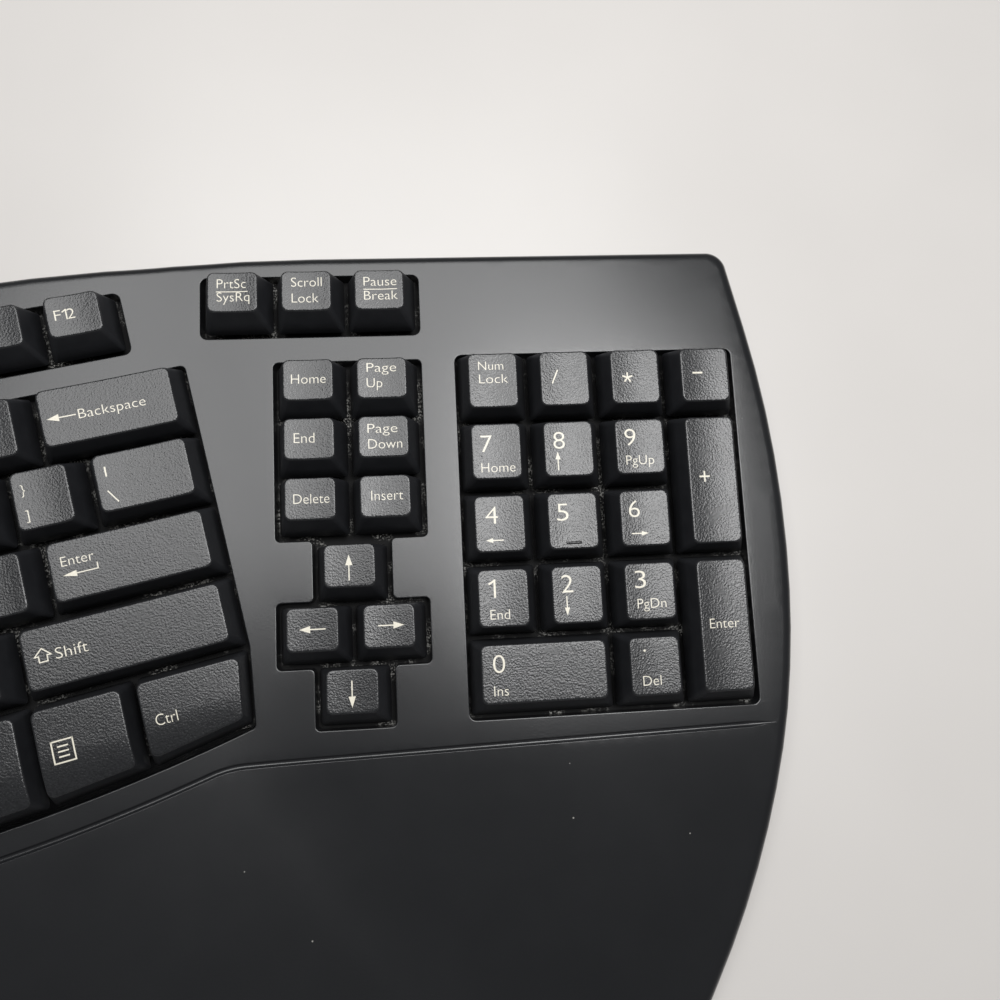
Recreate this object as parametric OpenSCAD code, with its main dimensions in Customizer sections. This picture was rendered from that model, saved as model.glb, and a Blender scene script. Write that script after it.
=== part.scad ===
// Ergonomic split keyboard: two tented hand blocks, navigation keys, a keypad and a built-in palm rest.
// Millimetres. +X is to the right along the keypad rows, +Y is to the rear, +Z is up.
// The origin is on the table under the middle of the case.

/* [Keys] */
// Distance between the centres of neighbouring full-size keys
pitch = 19.05; // [18.4:0.05:19.8]
// Row distance of the short keys: function row, navigation keys and arrows
short_pitch = 15.6; // [15:0.1:16.4]
// Gap between the skirts of neighbouring keys
key_gap = 1; // [0.7:0.1:1.5]
// Height of the key tops above the deck
key_rise = 7.5; // [6.5:0.1:9]
// How far the skirts reach below the deck at rest
skirt_drop = 0.6; // [0.3:0.1:1]
// How far a key goes down
travel = 3.6; // [2.5:0.1:4]
// Wall of the hollow key caps
cap_wall = 1.3; // [1:0.1:1.6]
// Depth of the dish in the key tops
dish = 0.4; // [0.2:0.05:0.7]
// Slant of the left and right key sides, measured along the row
side_slant = 2.6; // [2:0.05:3.4]
// Slant of the front of the full-size keys
front_slant = 2.2; // [1.5:0.05:3.4]
// Slant of the rear of the full-size keys
rear_slant = 1.3; // [0.5:0.05:2.5]
// Slant of the front of the short keys
short_front_slant = 3.6; // [2:0.05:4]
// Slant of the rear of the short keys
short_rear_slant = 0.2; // [0.1:0.05:1.5]
// Slant of the sides of the wide keys in the bottom row
low_side_slant = 1.4; // [0.8:0.05:2.5]
// Slant of the fronts of the keys in the bottom row
low_front_slant = 2.9; // [0.8:0.05:3.5]
// How far the rounded tops of the bottom row come down toward the front
roll = 1.4; // [0.8:0.1:2.4]
// Depth of the rounded front part of these tops
roll_depth = 10.5; // [8:0.1:13]
// Extra length of the fronts of the keypad's front row
front_skirt = 1.2; // [0.4:0.1:2]

/* [Layout] */
// Free strip between the keypad and the navigation keys
nav_gap = 10.05; // [8:0.05:14]
// From the navigation keys to the outer rear corner of the right-hand block
block_gap = 24; // [23:0.1:32]
// Height of the free strip between the number rows and the short rows behind them
row_gap = 7; // [5:0.1:10]
// Extra gap between the six navigation keys and the arrows
arrow_gap = 1.8; // [1:0.1:4]
// Gap between the two hands at the number row
split_gap = 13.2; // [10:0.1:20]
// Turn of each hand block, seen from above
gull = 12.4; // [8:0.1:13]
// Rise of each hand block toward the split
tent = 6; // [3:0.1:7]
// Length of the outermost right-hand key in the bottom row
ctrl_w = 28.4; // [24:0.1:30]
// Depth of the bottom row at its outer ends
bottom_depth = 20.7; // [19:0.1:23]
// Radius of the bowed front of the hand blocks
bow_r = 445; // [420:1:500]
// Offset of the last function key from the end of the number row
f_inset = 12.8; // [11:0.1:16]
// Turn of the outer ends of the bottom row against the other rows
end_turn = 8.4; // [2:0.1:12]

/* [Case] */
// Deck height above the table at the rear edge of the keypad
deck_h = 22.6; // [22:0.1:27]
// Front-to-rear slope of the deck
deck_slope = 3; // [2:0.1:4]
// Slope of the palm rest in front of the keypad
palm_slope = 6; // [4:0.1:6.5]
// Radius of the rounded palm rest in front of the hand blocks
palm_r = 190; // [170:1:230]
// Wall and deck thickness
wall = 2.5; // [2:0.1:3]
// Free margin around a group of keys in its well
well_margin = 0.1; // [0.05:0.05:1]
// Free margin around a group of short keys in its well
short_margin = 0.7; // [0.3:0.05:1]
// Extra room in the wells at the right and the front of the keypad and in front of the bottom row
front_play = 0.7; // [0.3:0.1:1.2]
// Corner radius of the wells
well_r = 1.8; // [1:0.1:2.5]
// From the keypad to the right-hand edge of the case
right_margin = 13; // [10:0.1:20]
// From the left-hand keys to the left-hand edge of the case
left_margin = 9.7; // [8:0.1:16]
// From the keypad to the rear edge of the case
rear_margin = 29.3; // [27:0.1:36]
// From the keypad to the front edge of the palm rest
palm_depth = 109.7; // [100:0.1:120]
// Distance of the straight part of the groove from the keypad
groove_gap = 6.9; // [5:0.1:9]
// Distance of the bowed part of the groove from the well of the hand blocks
bow_groove = 6.1; // [5:0.1:9]
// Turn of the straight part of the groove against the rows
groove_turn = 1.15; // [0.2:0.05:2]
// Width of the groove
groove_w = 1.1; // [0.8:0.1:2]
// Depth of the groove
groove_d = 0.8; // [0.4:0.1:1.2]
// Underside of the case above the table
base_z = 1.5; // [1:0.1:2.5]
// Floor thickness
floor_t = 2; // [1.6:0.1:2.6]
// Height of the joint between the upper and the lower case
part_z = 5; // [4.6:0.1:5.6]

/* [Inside] */
// Width of a key stem along the row
stem_w = 4.6; // [4:0.1:5]
// Depth of a key stem
stem_d = 3.6; // [3:0.1:4]
// Clearance of a stem on each side in its sleeve
stem_fit = 0.25; // [0.2:0.01:0.35]
// Wall of the guide sleeves
sleeve_wall = 1.1; // [0.8:0.1:1.2]
// Thickness of the key frame
frame_t = 1.6; // [1.4:0.1:2]
// Thickness of the rubber dome mat
mat_t = 0.8; // [0.6:0.1:1]
// Thickness of the contact sheets
sheet_t = 0.4; // [0.3:0.05:0.5]
// Clearance between stacked sheets
lay_fit = 0.05; // [0.03:0.01:0.1]
// Radius of the case screws
screw_r = 1.15; // [1:0.05:1.4]
// Radius of the rubber feet
pad_r = 6; // [5:0.1:7]
// Bore radius of the cable gland
cable_r = 2.1; // [1.6:0.1:2.5]

/* [Hidden] */
$fn = 48;
big = 700;
g2 = key_gap / 2;
cg = cos(gull);
sg = sin(gull);
ct = cos(tent);

// heights below the deck, measured square to it
frame_top = skirt_drop + travel + 0.5;
frame_low = frame_top + frame_t;
sleeve_top = frame_top - 5.5;
stem_end = frame_low + 0.9;
mat_top = stem_end + travel + 0.2;
dome_h = mat_top - stem_end - 0.1;
sheet_top = mat_top + mat_t + lay_fit;
bed = sheet_top + sheet_t + lay_fit;
rail = frame_top - lay_fit;

// plan of the key groups, from the rear left corner of the keypad on the deck
pad_w = 4 * pitch;
pad_d = 5 * pitch;
nav_x = -nav_gap - 2 * pitch;
nav_y = -1.5;
arrow_y = nav_y - 3 * short_pitch - arrow_gap;
half_x = nav_x - block_gap;
half_y = -1;
split_x = half_x - 8 * pitch * ct * cg - split_gap / 2;
f_rear = row_gap + short_pitch;

// the bow: one circle centred on the split
function plan(u, v) = [half_x + u * ct * cg - v * sg, half_y + u * ct * sg + v * cg];
function twin(p) = [2 * split_x - p.x, p.y];
bow_end = plan(-6, -4 * pitch - bottom_depth);
bow_c = [split_x, bow_end.y + sqrt(pow(bow_r, 2) - pow(bow_end.x - split_x, 2))];
bow_u = (bow_c.x - half_x) * cg + (bow_c.y - half_y) * sg;
bow_v = (bow_c.y - half_y) * cg - (bow_c.x - half_x) * sg;
function bow_at(u, r) = bow_v - sqrt(r * r - pow(u * ct - bow_u, 2));
function bow_y(x, r) = bow_c.y - sqrt(r * r - pow(x - bow_c.x, 2));
key_bow = bow_r - front_play - well_margin - g2;
groove_r = bow_r + bow_groove;
groove_y = -pad_d - groove_gap;
groove_end = pad_w + right_margin - 5.5;
groove_t = tan(groove_turn);
groove_b = groove_y - groove_t * groove_end - bow_c.y;
groove_h = split_x - groove_t * groove_b;
groove_c = split_x * split_x + groove_b * groove_b - groove_r * groove_r;
groove_q = groove_h * groove_h - (1 + groove_t * groove_t) * groove_c;
groove_x = (groove_h + sqrt(groove_q)) / (1 + groove_t * groove_t);

// outline helpers: corners are [x, y, radius], listed anticlockwise
function unit(a) = a / norm(a);
function side(a) = [-a.y, a.x];
function at(list, i) = list[(i + len(list)) % len(list)];
function xy(c) = [c.x, c.y];
function way(c, i) = unit(xy(at(c, i + 1)) - xy(at(c, i)));
function turn(c, i) = let (a = way(c, i - 1), b = way(c, i)) atan2(a.x * b.y - a.y * b.x, a * b);
function shifted(c, i, m0, m1) =
    let (n0 = side(way(c, i - 1)), n1 = side(way(c, i)), k = n0.x * n1.y - n1.x * n0.y)
    xy(c[i]) + [m0 * n1.y - m1 * n0.y, m1 * n0.x - m0 * n1.x] / k;
function inset(c, m) = [for (i = [0 : len(c) - 1])
    let (p = shifted(c, i, m, m)) [p.x, p.y, max(0.3, c[i].z - m * sign(turn(c, i)))]];
function sunk(c, m) = [for (i = [0 : len(c) - 1]) shifted(c, i, at(m, i - 1), m[i])];
function reach(c, i) = at(c, i).z * tan(abs(turn(c, i)) / 2);
function room(c, i) =
    0.98 * norm(xy(at(c, i + 1)) - xy(at(c, i))) / max(0.01, reach(c, i) + reach(c, i + 1));
function arc(c, i, step) =
    let (t = turn(c, i), d = way(c, i - 1), n = side(d) * sign(t))
    let (r = c[i].z * min(1, room(c, i - 1), room(c, i)))
    let (s = xy(c[i]) - d * r * tan(abs(t) / 2), m = s + n * r, k = max(2, ceil(abs(t) / step)))
    [for (j = [0 : k]) let (f = t * j / k)
        m + r * [-n.x * cos(f) + n.y * sin(f), -n.x * sin(f) - n.y * cos(f)]];
function rounded(c, step = 15) = [for (i = [0 : len(c) - 1]) each arc(c, i, step)];
function box(x0, y0, x1, y1) = [[x0, y0], [x1, y0], [x1, y1], [x0, y1]];
function with_r(p, r) = [for (q = p) [q.x, q.y, r]];

// case outline
right_x = pad_w + right_margin;
left_x = twin(plan(-pitch, -5 * pitch)).x - left_margin;
front_y = -pad_d - palm_depth;
dip_y = rear_margin - 29;
lean = tan(gull - 0.9);
outline = [
    [right_x, rear_margin - 53, 290],
    [right_x - 11.7, rear_margin, 6],
    [split_x + (rear_margin - dip_y) / lean, rear_margin, 450],
    [split_x, dip_y, 200],
    [left_x + 20.5, dip_y + (split_x - left_x - 20.5) * lean, 8],
    [left_x, -pad_d + 31, 330],
    [left_x, front_y + 72, 130],
    [left_x + 22, front_y + 17, 42],
    [left_x + 86, front_y + 0.5, 140],
    [split_x, front_y + 6, 320],
    [split_x + 95, front_y, 320],
    [right_x - 43, front_y + 8.5, 52],
    [right_x, front_y + 89, 240]
];
edge = rounded(outline, 2.5);
ox = -(min([for (p = edge) p.x]) + max([for (p = edge) p.x])) / 2;
oy = -(min([for (p = edge) p.y]) + max([for (p = edge) p.y])) / 2;

// key tables: name, then place and size in key units
keypad_keys = [
    ["numpad_num_lock_key", 0, 0, 1, 1], ["numpad_divide_key", 1, 0, 1, 1],
    ["numpad_multiply_key", 2, 0, 1, 1], ["numpad_minus_key", 3, 0, 1, 1],
    ["numpad_7_key", 0, 1, 1, 1], ["numpad_8_key", 1, 1, 1, 1],
    ["numpad_9_key", 2, 1, 1, 1], ["numpad_plus_key", 3, 1, 1, 2],
    ["numpad_4_key", 0, 2, 1, 1], ["numpad_5_key", 1, 2, 1, 1], ["numpad_6_key", 2, 2, 1, 1],
    ["numpad_1_key", 0, 3, 1, 1], ["numpad_2_key", 1, 3, 1, 1],
    ["numpad_3_key", 2, 3, 1, 1], ["numpad_enter_key", 3, 3, 1, 2],
    ["numpad_0_key", 0, 4, 2, 1], ["numpad_decimal_key", 2, 4, 1, 1]
];
// name, column in key units from the left of the navigation keys, rear edge
nav_keys = [
    ["print_screen_key", -1, f_rear], ["scroll_lock_key", 0, f_rear], ["pause_key", 1, f_rear],
    ["home_key", 0, nav_y], ["page_up_key", 1, nav_y],
    ["end_key", 0, nav_y - short_pitch], ["page_down_key", 1, nav_y - short_pitch],
    ["delete_key", 0, nav_y - 2 * short_pitch], ["insert_key", 1, nav_y - 2 * short_pitch],
    ["arrow_up_key", 0.5, arrow_y],
    ["arrow_left_key", 0, arrow_y - short_pitch], ["arrow_right_key", 1, arrow_y - short_pitch],
    ["arrow_down_key", 0.5, arrow_y - 2 * short_pitch]
];
// widths of each row from its outer end inward, in key units
right_rows = [[2, 1, 1, 1, 1, 1, 1], [1.5, 1, 1, 1, 1, 1, 1, 1], [2.25, 1, 1, 1, 1, 1, 1],
    [2.75, 1, 1, 1, 1, 1]];
left_rows = [[1, 1, 1, 1, 1, 1, 1], [1.5, 1, 1, 1, 1, 1], [1.75, 1, 1, 1, 1, 1], [2.25, 1, 1, 1, 1, 1]];
low_row = [for (i = [0 : 3]) i == 0 ? ctrl_w : 1.25 * pitch];
left_low_row = [1.5 * pitch, 1.25 * pitch, 1.25 * pitch];
// name, row, first and last place in that row; row 4 is the bottom row and row 5 the function row
right_keys = [
    ["f12_key", [[5, 0, 0]]], ["backspace_key", [[0, 0, 0]]], ["backslash_key", [[1, 0, 0]]],
    ["bracket_key", [[1, 1, 1]]], ["enter_key", [[2, 0, 0]]], ["right_shift_key", [[3, 0, 0]]],
    ["right_ctrl_key", [[4, 0, 0]]], ["menu_key", [[4, 1, 1]]],
    ["right_function_keys", [[5, 1, 6]]], ["right_number_keys", [[0, 1, 6]]],
    ["right_letter_keys", [[1, 2, 7], [2, 1, 6], [3, 1, 5]]], ["right_modifier_keys", [[4, 2, 3]]]
];
left_keys = [
    ["left_function_keys", [[5, 0, 5]]], ["left_number_keys", [[0, 0, 6]]],
    ["left_letter_keys", [[1, 1, 5], [2, 1, 5], [3, 1, 5]]],
    ["left_modifier_keys", [[1, 0, 0], [2, 0, 0], [3, 0, 0], [4, 0, 2]]]
];

function sum_to(list, i) = i <= 0 ? 0 : list[i - 1] + sum_to(list, i - 1);
function shrunk(b) = box(b[0] + g2, b[1] + g2, b[2] - g2, b[3] - g2);
function pad_skirt(k) = k[2] + k[4] == 5 ? front_skirt : 0;
function pad_base(k) =
    shrunk([k[1] * pitch, -(k[2] + k[4]) * pitch - pad_skirt(k), (k[1] + k[3]) * pitch, -k[2] * pitch]);
function nav_base(k) = shrunk([nav_x + k[1] * pitch, k[2] - short_pitch, nav_x + (k[1] + 1) * pitch, k[2]]);

// a key of a hand block: side is 1 for the right hand and -1 for the left, s runs inward from the outer end
function span(hand, s0, s1) = hand > 0 ? [-s1, -s0] : [s0, s1];
function hand_start(hand, row) = (hand > 0 ? 0 : pitch) + (row == 5 ? f_inset : 0);
function hand_widths(hand, row) =
    row == 5 ? [for (i = [0 : 6]) pitch]
    : row == 4 ? (hand > 0 ? low_row : left_low_row)
    : (hand > 0 ? right_rows[row] : left_rows[row]) * pitch;
function low_v(u) = bow_at(-abs(u), key_bow);
function end_shift(v) = (-4 * pitch - v) * tan(end_turn);
function low_base(hand, u, outer) =
    let (turned = hand > 0 ? 1 : 0)
    let (f = [for (i = [0, 1]) u[i] - (outer && i == turned ? hand * end_shift(low_v(u[i])) : 0)])
    [[f[0], low_v(f[0])], [f[1], low_v(f[1])], [u[1], -4 * pitch - g2], [u[0], -4 * pitch - g2]];
function hand_base(hand, row, i) =
    let (w = hand_widths(hand, row), s0 = hand_start(hand, row) + sum_to(w, i))
    let (u = span(hand, s0 + g2, s0 + w[i] - g2))
    row == 5 ? box(u[0], row_gap + g2, u[1], f_rear - g2)
    : row < 4 ? box(u[0], -(row + 1) * pitch + g2, u[1], -row * pitch - g2)
    : low_base(hand, u, i == 0);
function slants(row) =
    row == 5 ? [short_front_slant, side_slant, short_rear_slant, side_slant]
    : row == 4 ? [low_front_slant, low_side_slant, rear_slant, low_side_slant]
    : [front_slant, side_slant, rear_slant, side_slant];
function middle(p) = [for (a = [0, 1]) (min([for (q = p) q[a]]) + max([for (q = p) q[a]])) / 2];
function all_bases(hand) = [for (row = [0 : 5])
    let (n = row == 5 ? (hand > 0 ? 7 : 6) : len(hand_widths(hand, row)))
    for (i = [0 : n - 1]) hand_base(hand, row, i)];
pad_bases = concat([for (k = keypad_keys) pad_base(k)], [for (k = nav_keys) nav_base(k)]);

// the space bar lies across the split, in the plan of the deck
bar_right = sum_to(low_row, 4);
bar_left = pitch + sum_to(left_low_row, 3);
bar_rear = -4 * pitch - g2;
function row_y(x, v) = half_y + (x - half_x + v * sg) * tan(gull) + v * cg;
bar_a = plan(-bar_right - g2, bow_at(-bar_right, key_bow));
bar_b = twin(plan(-bar_left - g2, bow_at(-bar_left, key_bow)));
function bar_plan(r, grow) = concat(
    [for (i = [0 : 12])
        let (x = bar_b.x - grow + (bar_a.x - bar_b.x + 2 * grow) * i / 12) [x, bow_y(x, r)]],
    [plan(-bar_right - g2 + grow, bar_rear + grow),
     [split_x, row_y(split_x, bar_rear + grow)],
     twin(plan(-bar_left - g2 + grow, bar_rear + grow))]);
bar_sink = 0.35;
bar_stem_x = 42;
bar_stem_y = bow_y(split_x + bar_stem_x, key_bow) + 13.5;
bar_depth = bar_rear - bow_at(-bar_right, key_bow);
bar_stem_d = (row_y(split_x + bar_stem_x, bar_rear) - bar_stem_y) * cg - stem_d / 2;
function sag_at(d, depth) = roll * pow(max(0, d - depth + roll_depth) / roll_depth, 2);
bar_stem_top = key_rise - cap_wall - sag_at(bar_stem_d, bar_depth) + 0.25;

// frames
module place() {
    translate([ox, oy, 0]) children();
}
module deck() {
    translate([0, 0, deck_h]) rotate([deck_slope, 0, 0]) children();
}
module half(hand) {
    deck()
        translate([hand > 0 ? half_x : 2 * split_x - half_x, half_y, 0])
        rotate([0, 0, hand * gull])
        rotate([0, hand * tent, 0])
        children();
}
module below(drop) {
    translate([-big, -big, -big - drop]) cube([2 * big, 2 * big, big]);
}
module slab(points, high, low) {
    translate([0, 0, -low]) linear_extrude(low - high) polygon(points);
}

module groove_line() {
    translate([groove_end, groove_y, 0]) rotate([0, 0, groove_turn]) children();
}
// the space under a top that is flat from a rear edge y at height z and curves down at its front
module under_roll(y, depth, z, drop) {
    r = (roll_depth * roll_depth + roll * roll) / 2 / roll;
    start = y - depth + roll_depth;
    translate([-big, start, z - r]) rotate([0, 90, 0]) cylinder(r = r - drop, h = 2 * big, $fn = 360);
    translate([-big, start, z - big - drop]) cube([2 * big, big, big]);
}

// the case surface lowered by drop: flat deck and palm rest, two tented blocks, rounded front
module crown(drop) {
    intersection() {
        union() {
            intersection() {
                deck() below(drop);
                deck() groove_line() rotate([palm_slope - deck_slope, 0, 0]) below(drop);
            }
            intersection() {
                half(1) below(drop);
                half(-1) below(drop);
            }
        }
        union() {
            translate([-big, palm_c.x, palm_c.y]) rotate([0, 90, 0])
                cylinder(r = palm_r - drop, h = 2 * big, $fn = 360);
            translate([-big, palm_c.x, -big]) cube(2 * big);
        }
    }
}
// the rounded palm rest starts at the groove on the split and ends low at the front edge
ridge_z = deck_h + bow_y(split_x, groove_r) * sin(deck_slope)
    - ((split_x - half_x) * cg + (bow_y(split_x, groove_r) - half_y) * sg) * tan(tent);
palm_a = [bow_y(split_x, groove_r), ridge_z + 0.5];
palm_b = [front_y, part_z + 3];
palm_len = norm(palm_a - palm_b);
palm_tip = atan2(palm_a.y - palm_b.y, palm_a.x - palm_b.x) - asin(palm_len / 2 / palm_r);
palm_c = [palm_a.x + palm_r * sin(palm_tip), palm_a.y - palm_r * cos(palm_tip)];

module walls(inner, low, high) {
    translate([0, 0, low]) linear_extrude(high - low) polygon(rounded(inset(outline, inner), 2.5));
}

// wells, grown by a margin, from a height above the deck down to a depth
pad_front = -pad_d - front_skirt - well_margin - front_play;
pad_well = with_r(box(-well_margin, pad_front, pad_w + well_margin + front_play, well_margin), well_r);
m = well_margin;
short_m = short_margin;
trio_well = with_r(
    box(nav_x - pitch - short_m, row_gap - short_m, nav_x + 2 * pitch + short_m, f_rear + short_m), well_r);
nx = [nav_x - short_m, nav_x + pitch / 2 - short_m, nav_x + 1.5 * pitch + short_m,
    nav_x + 2 * pitch + short_m];
ny = [nav_y + short_m, nav_y - 3 * short_pitch - short_m, arrow_y - short_pitch + short_m,
    arrow_y - 2 * short_pitch - short_m, arrow_y - 3 * short_pitch - short_m];
nav_well = with_r([
    [nx[1], ny[4]], [nx[2], ny[4]], [nx[2], ny[3]], [nx[3], ny[3]], [nx[3], ny[2]], [nx[2], ny[2]],
    [nx[2], ny[1]], [nx[3], ny[1]], [nx[3], ny[0]], [nx[0], ny[0]], [nx[0], ny[1]], [nx[1], ny[1]],
    [nx[1], ny[2]], [nx[0], ny[2]], [nx[0], ny[3]], [nx[1], ny[3]]], well_r * 0.7);
function ends(hand) = [for (row = [0 : 3])
    hand_start(hand, row) + sum_to(hand_widths(hand, row), len(hand_widths(hand, row))) + m];
function hand_well(hand) =
    let (e = ends(hand), o = hand_start(hand, 0) - m, low = -6.5 * pitch)
    let (p = [[o + end_shift(low), low], [o, -4 * pitch], [o, m], [e[0], m],
        [e[0], -pitch + (e[1] > e[0] ? m : -m)], [e[1], -pitch + (e[1] > e[0] ? m : -m)],
        [e[1], -2 * pitch + (e[2] > e[1] ? m : -m)], [e[2], -2 * pitch + (e[2] > e[1] ? m : -m)],
        [e[2], -3 * pitch + (e[3] > e[2] ? m : -m)], [e[3], -3 * pitch + (e[3] > e[2] ? m : -m)],
        [e[3], low]])
    with_r(hand > 0 ? [for (q = p) [-q.x, q.y]] : [for (i = [len(p) - 1 : -1 : 0]) p[i]], well_r * 0.7);
function f_well(hand) =
    let (u = span(hand, hand_start(hand, 5) - short_m, pitch * 7 + f_inset + short_m))
    with_r(box(u[0], row_gap - short_m, u[1], f_rear + short_m), well_r);
module bow_disc(r, high, low) {
    translate([bow_c.x, bow_c.y, -low]) cylinder(r = r, h = low - high, $fn = 720);
}
module wells(grow, high, low) {
    deck() {
        slab(rounded(inset(pad_well, -grow)), high, low);
        slab(rounded(inset(trio_well, -grow)), high, low);
        slab(rounded(inset(nav_well, -grow)), high, low);
    }
    for (hand = [1, -1]) half(hand) slab(rounded(inset(f_well(hand), -grow)), high, low);
    intersection() {
        union() {
            for (hand = [1, -1]) half(hand) slab(rounded(inset(hand_well(hand), -grow)), high, low);
            intersection() {
                deck() slab(bar_plan(bow_r + 12, well_margin + g2 + grow), -60, 20);
                difference() {
                    crown(high);
                    crown(low);
                }
            }
        }
        deck() bow_disc(bow_r + grow, -60, 60);
    }
}

groove_run = (groove_end - groove_x) / cos(groove_turn) + 0.2;
module groove() {
    intersection() {
        difference() {
            deck() union() {
                intersection() {
                    difference() {
                        bow_disc(groove_r + groove_w / 2, -60, 60);
                        bow_disc(groove_r - groove_w / 2, -61, 61);
                    }
                    slab(box(left_x + 5, -big, groove_x + 0.2, 0), -60, 60);
                }
                groove_line() slab(box(-groove_run, -groove_w / 2, 0, groove_w / 2), -60, 60);
            }
            crown(groove_d);
        }
        walls(4, 0, 80);
    }
}

// screw places, in plan
wedge_at = [split_x, half_y - 87];
screw_at = [[pad_w - 4, 16], [5, 16], [nav_x - 8.4, -20], [right_x - 40, -pad_d - 60], [-80, -pad_d - 75],
    [split_x - 60, -pad_d - 82], [left_x + 30, -pad_d - 62], [left_x + 24, 12], wedge_at];
screw_l = 6.4;
rib_at = [nav_x - 13.85, nav_x + 5.15, nav_x + 24.15, 10, pad_w / 2, pad_w - 10];
board_at = [pad_w / 2 - 18.1, pad_w / 2 + 23.9];
board_y = rear_margin / 2 + 0.35;
board_z = 11;
lens_at = [[split_x - 6.5, half_y - 23], [split_x, half_y - 23], [split_x + 6.5, half_y - 23]];
gland_z = 14;
gland_y = dip_y + 200 * (1 / cos(gull - 0.9) - 1);
pad_at = [[right_x - 30, -pad_d - 62], [split_x + 80, -pad_d - 88], [left_x + 48, -pad_d - 78],
    [right_x - 26, -20], [split_x + 42, -30], [left_x + 36, -32]];
foot_w = 38;
foot_l = 20;
foot_t = 3;
pin_r = 1.5;
pin_fit = 0.15;
foot_gap = 0.5;
foot_z = base_z + 2.6;
foot_at = [[43.5, 20.5], [left_x + 62, 9]];

module upper_case() {
    color("#4a4b4e") place() {
        difference() {
            union() {
                difference() {
                    intersection() {
                        walls(0, part_z, 70);
                        crown(0);
                    }
                    intersection() {
                        walls(wall, part_z - 1, 70);
                        crown(wall);
                    }
                }
                difference() {
                    intersection() {
                        wells(1.5, 1, rail);
                        crown(0.4);
                        walls(wall / 2, part_z, 70);
                    }
                    crown(rail);
                }
                intersection() {
                    for (p = screw_at) translate([p.x, p.y, base_z + floor_t]) cylinder(r = 3.2, h = 60);
                    crown(0.4);
                }
            }
            wells(0, -12, rail + 3);
            groove();
            for (p = screw_at) translate([p.x, p.y, 0])
                cylinder(r = screw_r + 0.1, h = base_z + screw_l + 1.4);
            deck() for (p = lens_at) translate([p.x, p.y, -8]) cylinder(r = 1.6, h = 40);
            translate([split_x, gland_y + 8, gland_z]) rotate([90, 0, 0])
                cylinder(r = cable_r + 2.1, h = 20);
        }
    }
}

module lower_case() {
    color("#2a2a2c") place() difference() {
        union() {
            difference() {
                walls(0, base_z, part_z);
                walls(wall, base_z + floor_t, part_z + 1);
            }
            intersection() {
                crown(bed);
                walls(wall + 1.5, base_z + 0.2, 60);
                union() {
                    for (x = rib_at) translate([x, -pad_d, 0]) cube([1.8, pad_d - 6, 60]);
                    translate([nav_x - 12, row_gap + 4, 0]) cube([2 * pitch + 12, 1.8, 60]);
                    for (hand = [1, -1], s = [16, 50, 84, 118, 148])
                        half(hand) translate([-hand * s - 0.9, -4.4 * pitch, -60])
                            cube([1.8, 5.4 * pitch, 60]);
                }
            }
            for (p = foot_at) translate([p.x - foot_w / 2 - 3, p.y - foot_l - 3.6, base_z])
                cube([foot_w + 6, foot_l + 8.2, 6.8]);
            for (x = board_at) translate([x, board_y, base_z]) cylinder(r = 2.6, h = board_z - base_z);
        }
        for (p = foot_at) {
            translate([p.x - foot_w / 2 - foot_gap, p.y - foot_l - 2, 0])
                cube([foot_w + 2 * foot_gap, foot_l + 5, base_z + 5.2]);
            translate([p.x - foot_w / 2 - 2.6, p.y, foot_z]) rotate([0, 90, 0])
                cylinder(r = pin_r + pin_fit, h = foot_w + 5.2);
        }
        for (p = screw_at) translate([p.x, p.y, 0]) {
            cylinder(r = screw_r + 0.3, h = 20);
            cylinder(r = 2 * screw_r + 0.5, h = base_z + 1.2);
        }
        for (p = pad_at) translate([p.x, p.y, 0]) cylinder(r = pad_r + 0.1, h = base_z + 0.6);
        for (x = board_at) translate([x, board_y, base_z + 7.4]) cylinder(r = 0.9, h = 10);
    }
}

// key caps
module loft(low, z0, high, z1) {
    n = len(low);
    polyhedron(
        points = concat([for (p = low) [p.x, p.y, z0]], [for (p = high) [p.x, p.y, z1]]),
        faces = concat(
            [[for (i = [0 : n - 1]) i]],
            [[for (i = [0 : n - 1]) 2 * n - 1 - i]],
            [for (i = [0 : n - 1]) [i, n + i, n + (i + 1) % n, (i + 1) % n]]));
}
function bevel(p, r) = [for (i = [0 : len(p) - 1])
    let (a = way(p, i - 1), b = way(p, i)) each [p[i] - a * r, p[i] + b * r]];
module cap(base, ins, dished = true) {
    top = sunk(base, ins);
    c = middle(top);
    half_w = (max([for (q = top) q.x]) - min([for (q = top) q.x])) / 2;
    dish_r = half_w * half_w / 2 / dish;
    b = middle(base);
    rear = max([for (q = top) q.y]);
    deep = rear - min([for (q = top) q.y]);
    if (dished) difference() {
        cap_body(base, top);
        cap_hollow(base, top);
        translate([c.x, c.y, key_rise - dish + dish_r]) rotate([90, 0, 0])
            cylinder(r = dish_r, h = 80, center = true, $fn = 360);
    }
    else difference() {
        intersection() {
            cap_body(base, top);
            under_roll(rear, deep, key_rise, 0);
        }
        intersection() {
            cap_hollow(base, top);
            under_roll(rear, deep, key_rise, cap_wall);
        }
    }
    sag = dished ? dish : sag_at(rear - b.y - stem_d / 2, deep);
    translate([b.x, b.y, 0]) stem(key_rise - sag - cap_wall + 0.25);
}
module cap_body(base, top) {
    loft(bevel(base, 1.1), -skirt_drop, bevel(top, 1.5), key_rise);
}
module cap_hollow(base, top) {
    loft(sunk(base, [for (q = base) cap_wall]), -skirt_drop - 0.01,
        sunk(top, [for (q = top) cap_wall]), key_rise - dish - cap_wall);
}
module stem(top) {
    translate([-stem_w / 2, -stem_d / 2, -stem_end]) cube([stem_w, stem_d, stem_end + top]);
    translate([-stem_w / 2 - 0.6, -stem_d / 2 + 0.6, -stem_end]) cube([stem_w + 1.2, stem_d - 1.2, 0.75]);
}
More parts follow.
